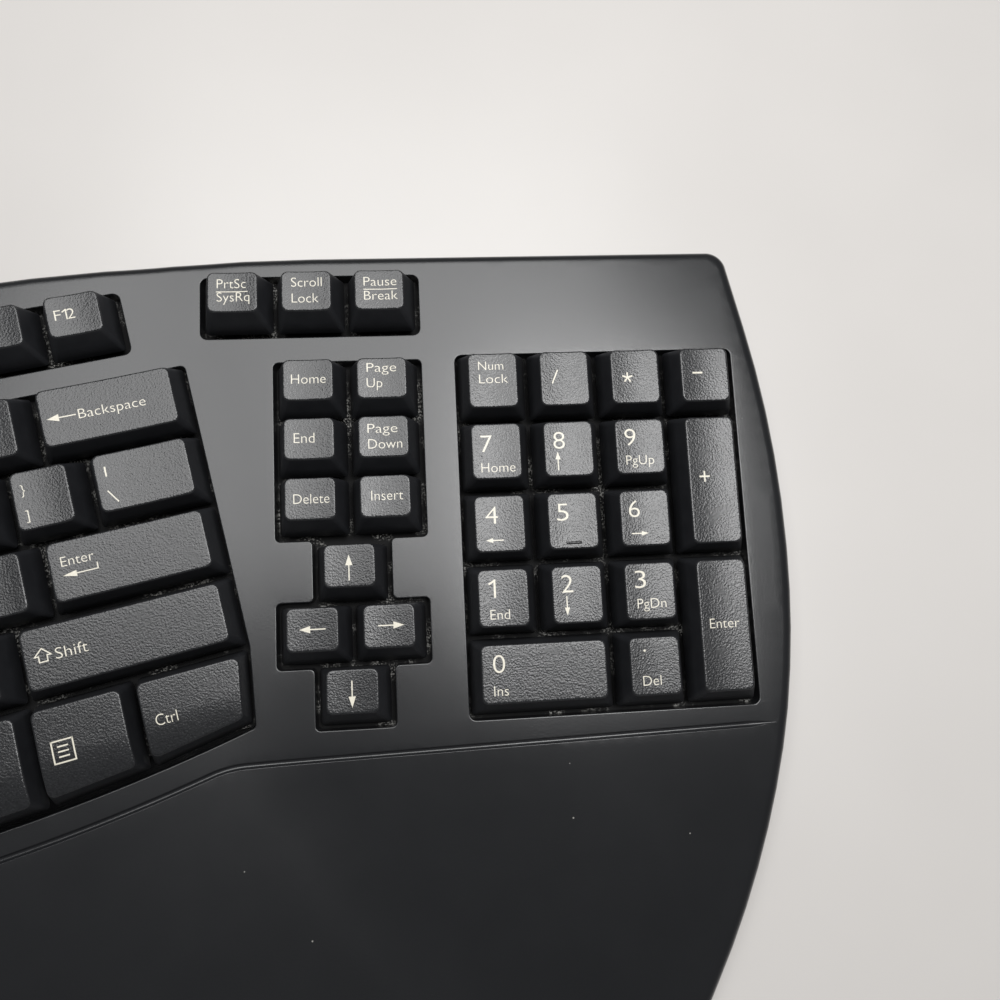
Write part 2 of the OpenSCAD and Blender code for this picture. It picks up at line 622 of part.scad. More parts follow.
module sleeve() {
    w = stem_w + 2 * stem_fit + 2 * sleeve_wall;
    d = stem_d + 2 * stem_fit + 2 * sleeve_wall;
    translate([-w / 2, -d / 2, -frame_low + 0.2]) cube([w, d, frame_low - 0.2 - sleeve_top]);
}
module sleeve_bore() {
    translate([-stem_w / 2 - stem_fit, -stem_d / 2 - stem_fit, -frame_low - 5])
        cube([stem_w + 2 * stem_fit, stem_d + 2 * stem_fit, frame_low + 15]);
}
module keypad_key(k) {
    color("#3a3a3d") place() deck() cap(pad_base(k), slants(0) + [pad_skirt(k), 0, 0, 0]);
}
module nav_key(k) {
    color("#3a3a3d") place() deck() cap(nav_base(k), slants(5));
}
module hand_keys(hand, k) {
    color("#3a3a3d") place() half(hand)
        for (r = k[1], i = [r[1] : r[2]]) cap(hand_base(hand, r[0], i), slants(r[0]), r[0] != 4);
}
bar_stems = [[split_x - bar_stem_x, bar_stem_y], [split_x + bar_stem_x, bar_stem_y]];
module bar_stem_frame(p) {
    z = -(plan_u(p)) * tan(tent);
    translate([p.x, p.y, z]) children();
}
function plan_u(p) = (abs(p.x - split_x) + split_x - half_x) * cg + (p.y - half_y) * sg;
module bar_top(drop) {
    intersection_for (hand = [1, -1]) half(hand) under_roll(bar_rear, bar_depth, key_rise - 0.4, drop);
}
module space_bar() {
    color("#3a3a3d") place() {
        difference() {
            intersection() {
                deck() slab(bar_plan(key_bow, 0), -60, 20);
                bar_top(0);
            }
            intersection() {
                half(1) below(skirt_drop);
                half(-1) below(skirt_drop);
            }
            intersection() {
                deck() slab(bar_plan(key_bow - cap_wall, -cap_wall), -60, 20);
                bar_top(cap_wall);
            }
        }
        deck() for (p = bar_stems) bar_stem_frame(p) translate([0, 0, -bar_sink]) stem(bar_stem_top);
    }
}

// the frame that guides the keys, in three plates
pad_plate = [
    [nav_x - pitch - 1.6, row_gap - 2.4], [nav_x - 1.6, -1], [nav_x - 1.6, arrow_y - 2 * short_pitch - 1],
    [nav_x + 8.5, -pad_d - front_skirt - 2.4], [pad_w + 2.6, -pad_d - front_skirt - 2.4],
    [pad_w + 2.6, 2.6], [nav_x + 2 * pitch + 2.6, 2.6], [nav_x + 2 * pitch + 2.6, f_rear + 2.2],
    [nav_x - pitch - 1.6, f_rear + 2.2]];
function hand_plate(hand) = let (u = span(hand, hand > 0 ? -1.2 : 15, 9.2 * pitch))
    box(u[0], -5.05 * pitch, u[1], f_rear + 2.2);
module zone(hand, margin, high, low) {
    if (hand == 0) deck() slab([for (p = inset(with_r(pad_plate, 0.3), margin)) xy(p)], high, low);
    else difference() {
        intersection() {
            half(hand) slab([for (p = inset(with_r(hand_plate(hand), 0.3), margin)) xy(p)], high, low);
            translate([hand > 0 ? split_x + 0.4 + margin : split_x - big - 0.4 - margin, -big, -60])
                cube([big, 2 * big, 200]);
            walls(wall + 1, 0, 80);
        }
        translate([wedge_at.x, wedge_at.y, 0]) cylinder(r = 4.2 + margin, h = 80);
    }
}
module zone_keys(hand) {
    if (hand == 0) deck() for (b = pad_bases) translate(middle(b)) children();
    else half(hand) for (b = all_bases(hand)) translate(middle(b)) children();
}
module bar_stems_of(hand) {
    if (hand != 0) deck() for (p = bar_stems) if ((p.x - split_x) * hand > 0) bar_stem_frame(p) children();
}
module key_frame() {
    color("#1d1d1f") place() for (hand = [0, 1, -1]) difference() {
        union() {
            zone(hand, 0, frame_top, frame_low);
            difference() {
                zone(hand, 0, frame_low - 0.2, mat_top - lay_fit);
                zone(hand, 1.6, frame_low - 1, mat_top + 1);
            }
            zone_keys(hand) sleeve();
            bar_stems_of(hand) sleeve();
        }
        zone_keys(hand) sleeve_bore();
        bar_stems_of(hand) sleeve_bore();
    }
}
module dome_mat() {
    color("#8f9296") place() for (hand = [0, 1, -1]) {
        zone(hand, 0, mat_top, mat_top + mat_t);
        zone_keys(hand) translate([0, 0, -mat_top - 0.2]) cylinder(r1 = 4.4, r2 = 2.4, h = dome_h + 0.2);
        bar_stems_of(hand) translate([0, 0, -mat_top - 0.3])
            cylinder(r1 = 4.4, r2 = 2.4, h = dome_h + 0.2 - bar_sink);
    }
}
module contact_sheets() {
    color("#d8d6cc") place() for (hand = [0, 1, -1]) zone(hand, 0.5, sheet_top, sheet_top + sheet_t);
}

// small parts
module controller_board() {
    color("#2f6b3c") place() {
        difference() {
            translate([board_at[0] - 5, board_y - 7, board_z])
                cube([board_at[1] - board_at[0] + 10, 14, 1.6]);
            for (x = board_at) translate([x, board_y, 0]) cylinder(r = 1.1, h = 30);
        }
        translate([board_at[0] + 10, board_y - 4, board_z + 1.5]) cube([12, 8, 1.8]);
        translate([board_at[0] + 27, board_y - 5, board_z + 1.5]) cube([9, 10, 4]);
    }
}
module indicator_lenses() {
    color("#c9d8c4") place() intersection() {
        deck() for (p = lens_at) translate([p.x, p.y, -8]) {
            cylinder(r = 1.5, h = 40);
        }
        difference() {
            crown(-0.2);
            crown(wall + 0.6);
        }
    }
}
module cable_gland() {
    color("#1a1a1b") place() translate([split_x, gland_y, gland_z]) rotate([90, 0, 0]) rotate_extrude()
        polygon([[cable_r, -1.8], [cable_r + 3.4, -1.8], [cable_r + 3.4, -0.25], [cable_r + 2, -0.25],
            [cable_r + 2, wall + 0.15], [cable_r + 3.4, wall + 0.15], [cable_r + 3.4, wall + 1.6],
            [cable_r, wall + 1.6]]);
}
module case_screws() {
    color("#6d6f72") place() for (p = screw_at) translate([p.x, p.y, 0]) {
        translate([0, 0, base_z + 0.1]) cylinder(r = 2 * screw_r + 0.3, h = 1.05);
        translate([0, 0, base_z + 1]) cylinder(r = screw_r, h = screw_l);
    }
}
module rubber_feet() {
    color("#161617") place() for (p = pad_at) translate([p.x, p.y, 0])
        cylinder(r = pad_r, h = base_z + 0.5);
}
module tilt_foot(p) {
    color("#2a2a2c") place() translate([p.x, p.y, foot_z]) {
        translate([-foot_w / 2, -foot_l, base_z + 0.4 - foot_z]) cube([foot_w, foot_l, foot_t]);
        rotate([0, 90, 0]) cylinder(r = 2.1, h = foot_w, center = true);
        rotate([0, 90, 0]) cylinder(r = pin_r, h = foot_w + 4.4, center = true);
    }
}
module tilt_foot_right() {
    tilt_foot(foot_at[0]);
}
module tilt_foot_left() {
    tilt_foot(foot_at[1]);
}

upper_case();
lower_case();
key_frame();
dome_mat();
contact_sheets();
controller_board();
indicator_lenses();
cable_gland();
case_screws();
rubber_feet();
tilt_foot_right();
tilt_foot_left();
space_bar();
for (k = keypad_keys) keypad_key(k);
for (k = nav_keys) nav_key(k);
for (k = right_keys) hand_keys(1, k);
for (k = left_keys) hand_keys(-1, k);
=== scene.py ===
import math

import bpy
import numpy as np
from mathutils import Matrix, Vector
from mathutils.geometry import delaunay_2d_cdt


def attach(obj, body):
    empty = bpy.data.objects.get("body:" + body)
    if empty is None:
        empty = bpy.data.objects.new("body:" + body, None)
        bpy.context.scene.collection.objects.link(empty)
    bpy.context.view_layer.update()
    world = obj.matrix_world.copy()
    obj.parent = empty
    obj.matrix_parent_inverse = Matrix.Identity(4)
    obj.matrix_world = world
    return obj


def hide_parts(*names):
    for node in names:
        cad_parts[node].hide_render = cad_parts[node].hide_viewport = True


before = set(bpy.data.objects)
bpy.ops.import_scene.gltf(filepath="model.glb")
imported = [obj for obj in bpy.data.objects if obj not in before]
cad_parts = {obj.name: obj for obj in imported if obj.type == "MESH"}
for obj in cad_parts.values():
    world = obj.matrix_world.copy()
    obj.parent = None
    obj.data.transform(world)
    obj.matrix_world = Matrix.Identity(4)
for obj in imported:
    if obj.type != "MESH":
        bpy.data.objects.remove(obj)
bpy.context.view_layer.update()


# UPPER CASE
# One injection-moulded ABS shell in charcoal: deck, key wells, groove and palm rest in one piece, with the
# fine matt grain of a spark-eroded mould. Screws from below hold it to the lower case.

# sizes in millimetres, from the rear left corner of the keypad in the plane of the deck
pitch = 19.05
short_pitch = 15.6
key_gap = 1.0
nav_gap = 10.05
block_gap = 24.0
row_gap = 7.0
arrow_gap = 1.8
split_gap = 13.2
gull = math.radians(12.4)
tent = math.radians(6.0)
ctrl_w = 28.4
bottom_depth = 20.7
bow_r = 445.0
f_inset = 12.8
end_turn = math.radians(8.4)
front_skirt = 1.2
deck_h = 22.6
deck_slope = math.radians(3.0)
palm_slope = math.radians(6.0)
palm_r = 190.0
well_gap = 0.1
short_gap = 0.7
front_play = 0.7
well_r = 1.8
well_depth = 4.6
well_lip = 0.35
edge_r = 3.2
right_margin = 13.0
left_margin = 9.7
rear_margin = 29.3
palm_depth = 109.7
groove_gap = 6.9
bow_groove = 6.1
groove_turn = math.radians(1.15)
groove_w = 1.1
groove_d = 0.8
groove_bend = 25.0
part_z = 5.0

cg, sg, ct = math.cos(gull), math.sin(gull), math.cos(tent)
half_gap = key_gap / 2
pad_w, pad_d = 4 * pitch, 5 * pitch
nav_x, nav_y = -nav_gap - 2 * pitch, -1.5
arrow_y = nav_y - 3 * short_pitch - arrow_gap
half_x, half_y = nav_x - block_gap, -1.0
split_x = half_x - 8 * pitch * ct * cg - split_gap / 2
f_rear = row_gap + short_pitch


def plan(hand, s, v):
    """Place on the deck of a point of a hand block, s inward from the outer end and v to the rear."""
    x = half_x - s * ct * cg - v * sg
    return np.array([x if hand > 0 else 2 * split_x - x, half_y - s * ct * sg + v * cg])


def row_y(x, v):
    """Where a line along the right-hand rows, v to the rear, crosses x on the deck."""
    return half_y + (x - half_x + v * sg) * math.tan(gull) + v * cg


def rounded(corners, step=15.0, cuts=None):
    """Closed anticlockwise outline through corners (x, y, radius), each turned into an arc."""
    spots = [Vector(c[:2]) for c in corners]
    n = len(spots)
    runs = [spots[(i + 1) % n] - spots[i] for i in range(n)]
    ways = [run.normalized() for run in runs]
    turns = [math.atan2(ways[i - 1].cross(ways[i]), ways[i - 1].dot(ways[i])) for i in range(n)]
    reach = [corners[i][2] * math.tan(abs(turns[i]) / 2) for i in range(n)]
    room = [0.98 * runs[i].length / max(0.01, reach[i] + reach[(i + 1) % n]) for i in range(n)]
    arcs = []
    for i in range(n):
        r = corners[i][2] * min(1.0, room[i - 1], room[i])
        side = Vector((-ways[i - 1].y, ways[i - 1].x)) * math.copysign(1, turns[i])
        middle = spots[i] - ways[i - 1] * r * math.tan(abs(turns[i]) / 2) + side * r
        k = max(2, round(math.degrees(abs(turns[i])) / step))
        arcs.append([middle + Matrix.Rotation(turns[i] * j / k, 2) @ (side * -r) for j in range(k + 1)])
    points = []
    for i in range(n):
        points += arcs[i]
        last, following = arcs[i][-1], arcs[(i + 1) % n][0]
        for j in range(cuts[i] if cuts else 0):
            points.append(last.lerp(following, (j + 1) / (cuts[i] + 1)))
    return np.array([p[:] for p in points])


def spaced(loop, gap):
    """The closed loop with no step longer than gap and none that is nearly zero."""
    points = []
    for a, b in zip(loop, np.roll(loop, -1, axis=0)):
        length = np.linalg.norm(b - a)
        if length > 0.02:
            k = math.ceil(length / gap)
            points += [a + (b - a) * j / k for j in range(k)]
    return np.array(points)


def outward(loop):
    """Unit vectors that point out of an anticlockwise loop."""
    along = np.roll(loop, -1, axis=0) - np.roll(loop, 1, axis=0)
    along /= np.linalg.norm(along, axis=1)[:, None]
    return np.column_stack([along[:, 1], -along[:, 0]])


def inside(points, loop):
    """Which of the points lie in a closed loop."""
    found = np.zeros(len(points), bool)
    for a, b in zip(loop, np.roll(loop, -1, axis=0)):
        crosses = (a[1] > points[:, 1]) != (b[1] > points[:, 1])
        if crosses.any():
            at = a[0] + (points[:, 1] - a[1]) * (b[0] - a[0]) / (b[1] - a[1] + 1e-12)
            found ^= crosses & (points[:, 0] < at)
    return found


def low_blend(a, b, width):
    """The lower of two surfaces, with the crease between them rounded."""
    near = np.maximum(width - np.abs(a - b), 0) / width
    return np.minimum(a, b) - near * near * width / 4


# the bow is one circle centred behind the split; the groove runs along it and then straight to the right
bow_end = plan(1, 6, -4 * pitch - bottom_depth)
bow_c = np.array([split_x, bow_end[1] + math.sqrt(bow_r**2 - (bow_end[0] - split_x) ** 2)])
groove_r = bow_r + bow_groove
groove_y = -pad_d - groove_gap


def bow_y(x, r):
    """Front of the bow with radius r at x."""
    return bow_c[1] - np.sqrt(r * r - (x - split_x) ** 2)


# the case outline from above, anticlockwise, as x, y and corner radius
right_x = pad_w + right_margin
left_x = plan(-1, pitch, -5 * pitch)[0] - left_margin
front_y = -pad_d - palm_depth
dip_y = rear_margin - 29
lean = math.tan(gull - math.radians(0.9))
outline = rounded(
    [
        (right_x, rear_margin - 53, 290),
        (right_x - 11.7, rear_margin, 6),
        (split_x + (rear_margin - dip_y) / lean, rear_margin, 450),
        (split_x, dip_y, 200),
        (left_x + 20.5, dip_y + (split_x - left_x - 20.5) * lean, 8),
        (left_x, -pad_d + 31, 330),
        (left_x, front_y + 72, 130),
        (left_x + 22, front_y + 17, 42),
        (left_x + 86, front_y + 0.5, 140),
        (split_x, front_y + 6, 320),
        (split_x + 95, front_y, 320),
        (right_x - 43, front_y + 8.5, 52),
        (right_x, front_y + 89, 240),
    ],
    2.5,
)
middle = (outline.min(0) + outline.max(0)) / 2
deck = (
    Matrix.Translation((-middle[0], -middle[1], deck_h))
    @ Matrix.Rotation(deck_slope, 4, "X")
)
halves = {
    hand: deck
    @ Matrix.Translation((half_x if hand > 0 else 2 * split_x - half_x, half_y, 0))
    @ Matrix.Rotation(hand * gull, 4, "Z")
    @ Matrix.Rotation(hand * tent, 4, "Y")
    for hand in (1, -1)
}


def moved(matrix, points):
    """Points taken from one of the frames above to the row frame."""
    turn = np.array(matrix)
    return np.asarray(points, float) @ turn[:3, :3].T + turn[:3, 3]


# the rounded palm rest is a cylinder that starts at the groove on the split and ends low at the front edge
ridge_y = bow_y(split_x, groove_r)
ridge_z = deck_h + ridge_y * math.sin(deck_slope) - (
    (split_x - half_x) * cg + (ridge_y - half_y) * sg
) * math.tan(tent)
palm_a, palm_b = Vector((ridge_y, ridge_z + 0.5)), Vector((front_y, part_z + 3))
palm_tip = math.atan2(palm_a.y - palm_b.y, palm_a.x - palm_b.x) - math.asin(
    (palm_a - palm_b).length / 2 / palm_r
)
palm_c = Vector((palm_a.x + palm_r * math.sin(palm_tip), palm_a.y - palm_r * math.cos(palm_tip) - deck_h))
palm_c = Matrix.Rotation(-deck_slope, 2) @ palm_c


def tents(x, y):
    """Height of the two tented hand blocks over the plane of the deck."""
    sides = [
        -math.tan(tent) * ((at - half_x) * cg + (y - half_y) * sg) for at in (x, 2 * split_x - x)
    ]
    return low_blend(sides[0], sides[1], 2.0)


groove_end = right_x - 5.5


def groove_line(x):
    """Where the straight part of the groove runs, slightly turned against the rows."""
    return groove_y + (x - groove_end) * math.tan(groove_turn)


def crown(x, y):
    """Height of the case surface over the plane of the deck."""
    ahead = (y - groove_line(x)) * math.cos(groove_turn)
    flat = low_blend(0 * x, ahead * math.tan(palm_slope - deck_slope), 0.3)
    body = -low_blend(-flat, -tents(x, y), 1.2)
    ahead = np.minimum(y - palm_c.x, 0)
    behind = np.maximum(y - palm_c.x, 0)
    palm = palm_c.y + np.sqrt(np.maximum(palm_r**2 - ahead**2, 1)) + 0.01 * behind**2
    return low_blend(body, palm, 1.6)


def on_crown(points):
    """Points of the plan from above, put on the case surface, in deck coordinates."""
    height = np.zeros(len(points))
    for _ in range(8):
        y = (points[:, 1] + height * math.sin(deck_slope)) / math.cos(deck_slope)
        height = crown(points[:, 0], y)
    return np.column_stack([points[:, 0], y, height])


def loft(count, rings, flip=False):
    """Four-sided faces between stacked rings of count points each."""
    faces = [
        (r * count + i, r * count + (i + 1) % count, (r + 1) * count + (i + 1) % count, (r + 1) * count + i)
        for r in range(rings - 1)
        for i in range(count)
    ]
    return [face[::-1] for face in faces] if flip else faces


def lip(start, corner, end, steps=4):
    """Rings of a rounded edge that leaves start, bends round corner and reaches end."""
    return [
        (1 - t) ** 2 * start + 2 * t * (1 - t) * corner + t * t * end for t in np.linspace(0, 1, steps + 1)
    ]


def solid(name, points, faces, materials, slots=None, normals=None):
    """Mesh object from points in millimetres: points that meet are welded, large faces lead the shading."""
    points = np.asarray(points, float)
    _, first, back = np.unique(np.round(points, 4), axis=0, return_index=True, return_inverse=True)
    back = back.ravel()
    kept, kept_slots = [], []
    for i, face in enumerate(faces):
        turn = [int(back[k]) for k in face]
        turn = [k for j, k in enumerate(turn) if k != turn[j - 1]]
        if len(turn) > 2 and len(set(turn)) == len(turn):
            kept.append(turn)
            kept_slots.append(slots[i] if slots else 0)
    mesh = bpy.data.meshes.new(name)
    mesh.from_pydata((points[first] / 1000).tolist(), [], kept)
    for one in materials:
        mesh.materials.append(one)
    mesh.polygons.foreach_set("material_index", kept_slots)
    mesh.polygons.foreach_set("use_smooth", [True] * len(kept))
    mesh.update()
    facing = np.zeros(len(kept) * 3)
    mesh.polygons.foreach_get("normal", facing)
    area = np.zeros(len(kept))
    mesh.polygons.foreach_get("area", area)
    weighted = np.repeat(facing.reshape(-1, 3) * area[:, None], [len(f) for f in kept], axis=0)
    shading = np.zeros((len(first), 3))
    np.add.at(shading, np.concatenate(kept), weighted)
    if normals is not None:
        given = normals[first]
        known = ~np.isnan(given[:, 0])
        shading[known] = given[known]
    shading /= np.maximum(np.linalg.norm(shading, axis=1), 1e-20)[:, None]
    mesh.normals_split_custom_set_from_vertices(shading.tolist())
    made = bpy.data.objects.new(name, mesh)
    bpy.context.scene.collection.objects.link(made)
    return made


def hand_rows(hand, row):
    """Widths of the keys of a row from its outer end inward; row 4 is the bottom row, row 5 the function row."""
    if row == 5:
        return [pitch] * (7 if hand > 0 else 6)
    if row == 4:
        return [ctrl_w] + [1.25 * pitch] * 3 if hand > 0 else [1.5 * pitch, 1.25 * pitch, 1.25 * pitch]
    ends = {1: (2, 1.5, 2.25, 2.75), -1: (1, 1.5, 1.75, 2.25)}[hand]
    ones = {1: (6, 7, 6, 5), -1: (6, 5, 5, 5)}[hand]
    return [ends[row] * pitch] + [pitch] * ones[row]


def hand_start(hand, row):
    """Where a row starts, inward from the outer end of its block."""
    return (0 if hand > 0 else pitch) + (f_inset if row == 5 else 0)


def box(x0, y0, x1, y1):
    """Corners of a rectangle, anticlockwise from the front left."""
    return [(x0, y0), (x1, y0), (x1, y1), (x0, y1)]


# wells of the keypad, the trio behind, the navigation keys, the two function rows and both hands with the bar
nav_xs = (
    nav_x - short_gap,
    nav_x + pitch / 2 - short_gap,
    nav_x + 1.5 * pitch + short_gap,
    nav_x + 2 * pitch + short_gap,
)
nav_ys = (
    nav_y + short_gap,
    nav_y - 3 * short_pitch - short_gap,
    arrow_y - short_pitch + short_gap,
    arrow_y - 2 * short_pitch - short_gap,
    arrow_y - 3 * short_pitch - short_gap,
)
nav_turns = (
    (1, 4), (2, 4), (2, 3), (3, 3), (3, 2), (2, 2), (2, 1), (3, 1),
    (3, 0), (0, 0), (0, 1), (1, 1), (1, 2), (0, 2), (0, 3), (1, 3),
)
pad_front = -pad_d - front_skirt - well_gap - front_play
f_front, f_behind = row_gap - short_gap, f_rear + short_gap
wells = [
    [(x, y, well_r) for x, y in box(-well_gap, pad_front, pad_w + well_gap + front_play, well_gap)],
    [(x, y, well_r) for x, y in box(nav_x - pitch - short_gap, f_front, nav_x + 2 * pitch + short_gap, f_behind)],
    [(nav_xs[i], nav_ys[j], well_r * 0.7) for i, j in nav_turns],
]
for hand in (1, -1):
    s0, s1 = hand_start(hand, 5) - short_gap, 7 * pitch + f_inset + short_gap
    turns = [(s1, f_front), (s0, f_front), (s0, f_behind), (s1, f_behind)]
    wells.append([(*plan(hand, s, v), well_r) for s, v in turns[::hand]])


def hand_edge(hand):
    """Corners of a hand's well from its outer front to its inner front at the space bar."""
    ends = [hand_start(hand, r) + sum(hand_rows(hand, r)) + well_gap for r in range(4)]
    outer = hand_start(hand, 0) - well_gap
    v = -4 * pitch - bottom_depth
    for _ in range(20):
        front = outer + (-4 * pitch - v) * math.tan(end_turn)
        x, y = plan(hand, front, v)
        v += (bow_y(x, bow_r) - y) / cg
    turns = [(front, v), (outer, -4 * pitch), (outer, well_gap), (ends[0], well_gap)]
    for r in range(3):
        step = -(r + 1) * pitch + math.copysign(well_gap, ends[r + 1] - ends[r])
        turns += [(ends[r], step), (ends[r + 1], step)]
    return [plan(hand, s, v) for s, v in turns + [(ends[3], -4 * pitch - half_gap + well_gap)]]


right_edge, left_edge = hand_edge(1), hand_edge(-1)
front_xs = np.linspace(left_edge[0][0], right_edge[0][0], 80)[1:-1]
wells.append(
    [(*p, well_r * 0.7) for p in right_edge]
    + [(split_x, row_y(split_x, -4 * pitch - half_gap + well_gap), 3.0)]
    + [(*p, well_r * 0.7) for p in left_edge[::-1]]
    + [(x, bow_y(x, bow_r), 0.01) for x in front_xs]
)
# three small holes for the indicator lenses
for x in (split_x - 6.5, split_x, split_x + 6.5):
    around = np.radians(np.arange(0, 360, 15))
    wells.append([(x + 1.62 * math.cos(a), half_y - 23 + 1.62 * math.sin(a), 0.01) for a in around])

# the rim of the case: inset by the edge radius on the surface, round the edge, then down the wall to the joint
rim = spaced(outline, 2.5)
rim_out = outward(rim)
inner = on_crown(rim - rim_out * edge_r)
corner = moved(deck, on_crown(rim))
floor_of_edge = corner.copy()
floor_of_edge[:, 2] -= np.minimum(edge_r, 0.6 * (corner[:, 2] - part_z))
rim_rings = lip(moved(deck, inner), corner, floor_of_edge, 6)
for share in (0.25, 0.5, 0.75, 1.0):
    level = floor_of_edge.copy()
    level[:, 2] += share * (part_z + 0.3 - level[:, 2])
    rim_rings.append(level)
tuck = rim_rings[-1].copy()
tuck[:, :2] -= rim_out * 0.35
tuck[:, 2] = part_z + 0.02
rim_rings.append(tuck)
case_points = [np.concatenate(rim_rings)]
case_faces = loft(len(rim), len(rim_rings), flip=True)
case_count = len(case_points[0])
# whole faces of the wall are left out around the cable gland, so the opening is taller than its flange
gland_height, gland_reach, gland_wall = 14.0, 4.4, 12
gland_at = np.array([split_x - middle[0], dip_y + 200 * (1 / math.cos(math.atan(lean)) - 1) - middle[1], gland_height])
off_axis = np.linalg.norm((case_points[0] - gland_at)[:, [0, 2]], axis=1)
in_gland = (off_axis < gland_reach) & (case_points[0][:, 1] > gland_at[1] - gland_wall)
case_faces = [f for f in case_faces if not any(in_gland[k] for k in f)]
surface_loops = [inner[:, :2]]

corner_step, point_gap = 18.0, 2.5
lens_count, lens_lip, lens_depth = 3, 0.25, 2.0
flat_wells, tent_blend = 3, 20
for number, turns in enumerate(wells):
    loop = spaced(rounded(turns, corner_step), point_gap)
    small = number >= len(wells) - lens_count
    lip_r = lens_lip if small else well_lip
    start = loop + outward(loop) * lip_r
    top = np.column_stack([start, crown(start[:, 0], start[:, 1])])
    corner = np.column_stack([loop, crown(loop[:, 0], loop[:, 1])])
    up = np.tile([0.0, 0.0, 1.0], (len(loop), 1))
    if number >= flat_wells:
        share = np.clip((loop[:, 0] - split_x) / tent_blend, -1, 1)
        up[:, 0] = share * math.sin(tent) * cg
        up[:, 1] = np.abs(share) * math.sin(tent) * sg
        up /= np.linalg.norm(up, axis=1)[:, None]
    rings = lip(top, corner, corner - up * lip_r, 4) + [corner - up * (lens_depth if small else well_depth)]
    case_points.append(moved(deck, np.concatenate(rings)))
    case_faces += [tuple(case_count + k for k in f) for f in loft(len(loop), len(rings))]
    case_count += len(case_points[-1])
    surface_loops.append(start)

# the groove: a rounded channel along the bow, a soft bend, then straight; both ends run out to nothing
bend_c = np.array([-60.0, 0.0])
for _ in range(20):
    bend_c[1] = groove_line(bend_c[0]) - groove_bend / math.cos(groove_turn)
    bend_c[0] = split_x + math.sqrt((groove_r + groove_bend) ** 2 - (bow_c[1] - bend_c[1]) ** 2)
touch = bow_c + (bend_c - bow_c) * groove_r / (groove_r + groove_bend)
bow_xs = np.linspace(left_x + 9, touch[0], 140)
angles = np.linspace(math.atan2(*(touch - bend_c)[::-1]), math.pi / 2 + groove_turn, 10)[1:]
line_xs = np.arange(bend_c[0] + 2.5, groove_end, 2.5)
channel = np.concatenate(
    [
        np.column_stack([bow_xs, bow_y(bow_xs, groove_r)]),
        bend_c + groove_bend * np.column_stack([np.cos(angles), np.sin(angles)]),
        np.column_stack([line_xs, groove_line(line_xs)]),
    ]
)
along = np.gradient(channel, axis=0)
along /= np.linalg.norm(along, axis=1)[:, None]
across = np.column_stack([-along[:, 1], along[:, 0]])
travelled = np.concatenate([[0], np.cumsum(np.linalg.norm(np.diff(channel, axis=0), axis=1))])
run_out = np.clip(np.minimum(travelled, travelled[-1] - travelled) / 7, 0, 1)
run_out = run_out * run_out * (3 - 2 * run_out)
profile = [
    (1.0, 0.0), (0.88, -0.06), (0.74, -0.25), (0.62, -0.62), (0.42, -0.93), (0.15, -1.0),
    (-0.15, -1.0), (-0.42, -0.93), (-0.62, -0.62), (-0.74, -0.25), (-0.88, -0.06), (-1.0, 0.0),
]
lines = []
for place, depth in profile:
    flat = channel + across * (place * (groove_w / 2 + 0.35) * run_out)[:, None]
    lines.append(np.column_stack([flat, crown(flat[:, 0], flat[:, 1]) + depth * groove_d * run_out]))
stations = len(channel)
case_points.append(moved(deck, np.concatenate(lines)))
for k in range(len(profile) - 1):
    for i in range(stations - 1):
        a = case_count + k * stations + i
        case_faces.append((a, a + stations, a + stations + 1, a + 1))
case_count += len(case_points[-1])
surface_loops.append(np.concatenate([lines[-1][:, :2], lines[0][-2:0:-1, :2]]))

# the surface between all these edges: a triangle mesh whose points lie on the crown
near_xs, near_ys = np.meshgrid(np.arange(left_x, right_x, 4.5), np.arange(front_y, rear_margin + 3, 4.5))
free = np.column_stack([near_xs.ravel(), near_ys.ravel()])
free = free[inside(free, surface_loops[0])]
for loop in surface_loops:
    gap = np.min(np.linalg.norm(free[:, None, :] - loop[None, :, :], axis=2), axis=1)
    free = free[gap > 1.8]
for loop in surface_loops[1:]:
    free = free[~inside(free, loop)]
laid_points, loop_faces = np.concatenate(surface_loops + [free]), []
for loop in surface_loops:
    at = sum(len(face) for face in loop_faces)
    loop_faces.append(list(range(at, at + len(loop))))
laid = delaunay_2d_cdt([Vector(p) for p in laid_points], [], loop_faces, 0, 1e-6)
flat = laid_points[[came_from[0] for came_from in laid[3]]]
for triangle, lies_in in zip(laid[2], laid[5]):
    if list(lies_in) == [0]:
        case_faces.append(tuple(case_count + k for k in triangle))
case_points.append(moved(deck, np.column_stack([flat, crown(flat[:, 0], flat[:, 1])])))
slope = 0.05
tilt = np.column_stack(
    [
        (crown(flat[:, 0] - slope, flat[:, 1]) - crown(flat[:, 0] + slope, flat[:, 1])) / (2 * slope),
        (crown(flat[:, 0], flat[:, 1] - slope) - crown(flat[:, 0], flat[:, 1] + slope)) / (2 * slope),
        np.ones(len(flat)),
    ]
)
tilt = tilt @ np.array(deck.to_3x3()).T
case_normals = np.full((case_count, 3), np.nan)
case_normals = np.concatenate([case_normals, tilt / np.linalg.norm(tilt, axis=1)[:, None]])


def colour(code):
    """Linear colour from an sRGB hex value."""
    parts = [int(code[i : i + 2], 16) / 255 for i in (1, 3, 5)]
    return [*(c / 12.92 if c <= 0.04045 else ((c + 0.055) / 1.055) ** 2.4 for c in parts), 1.0]


def put(tree, kind, values=None, links=None, **options):
    """Adds a node with its options and socket values, and links its inputs to (node, output)."""
    made = tree.nodes.new(kind)
    for name, value in options.items():
        setattr(made, name, value)
    for name, value in (values or {}).items():
        made.inputs[name].default_value = value
    for name, (source, output) in (links or {}).items():
        tree.links.new(source.outputs[output], made.inputs[name])
    return made


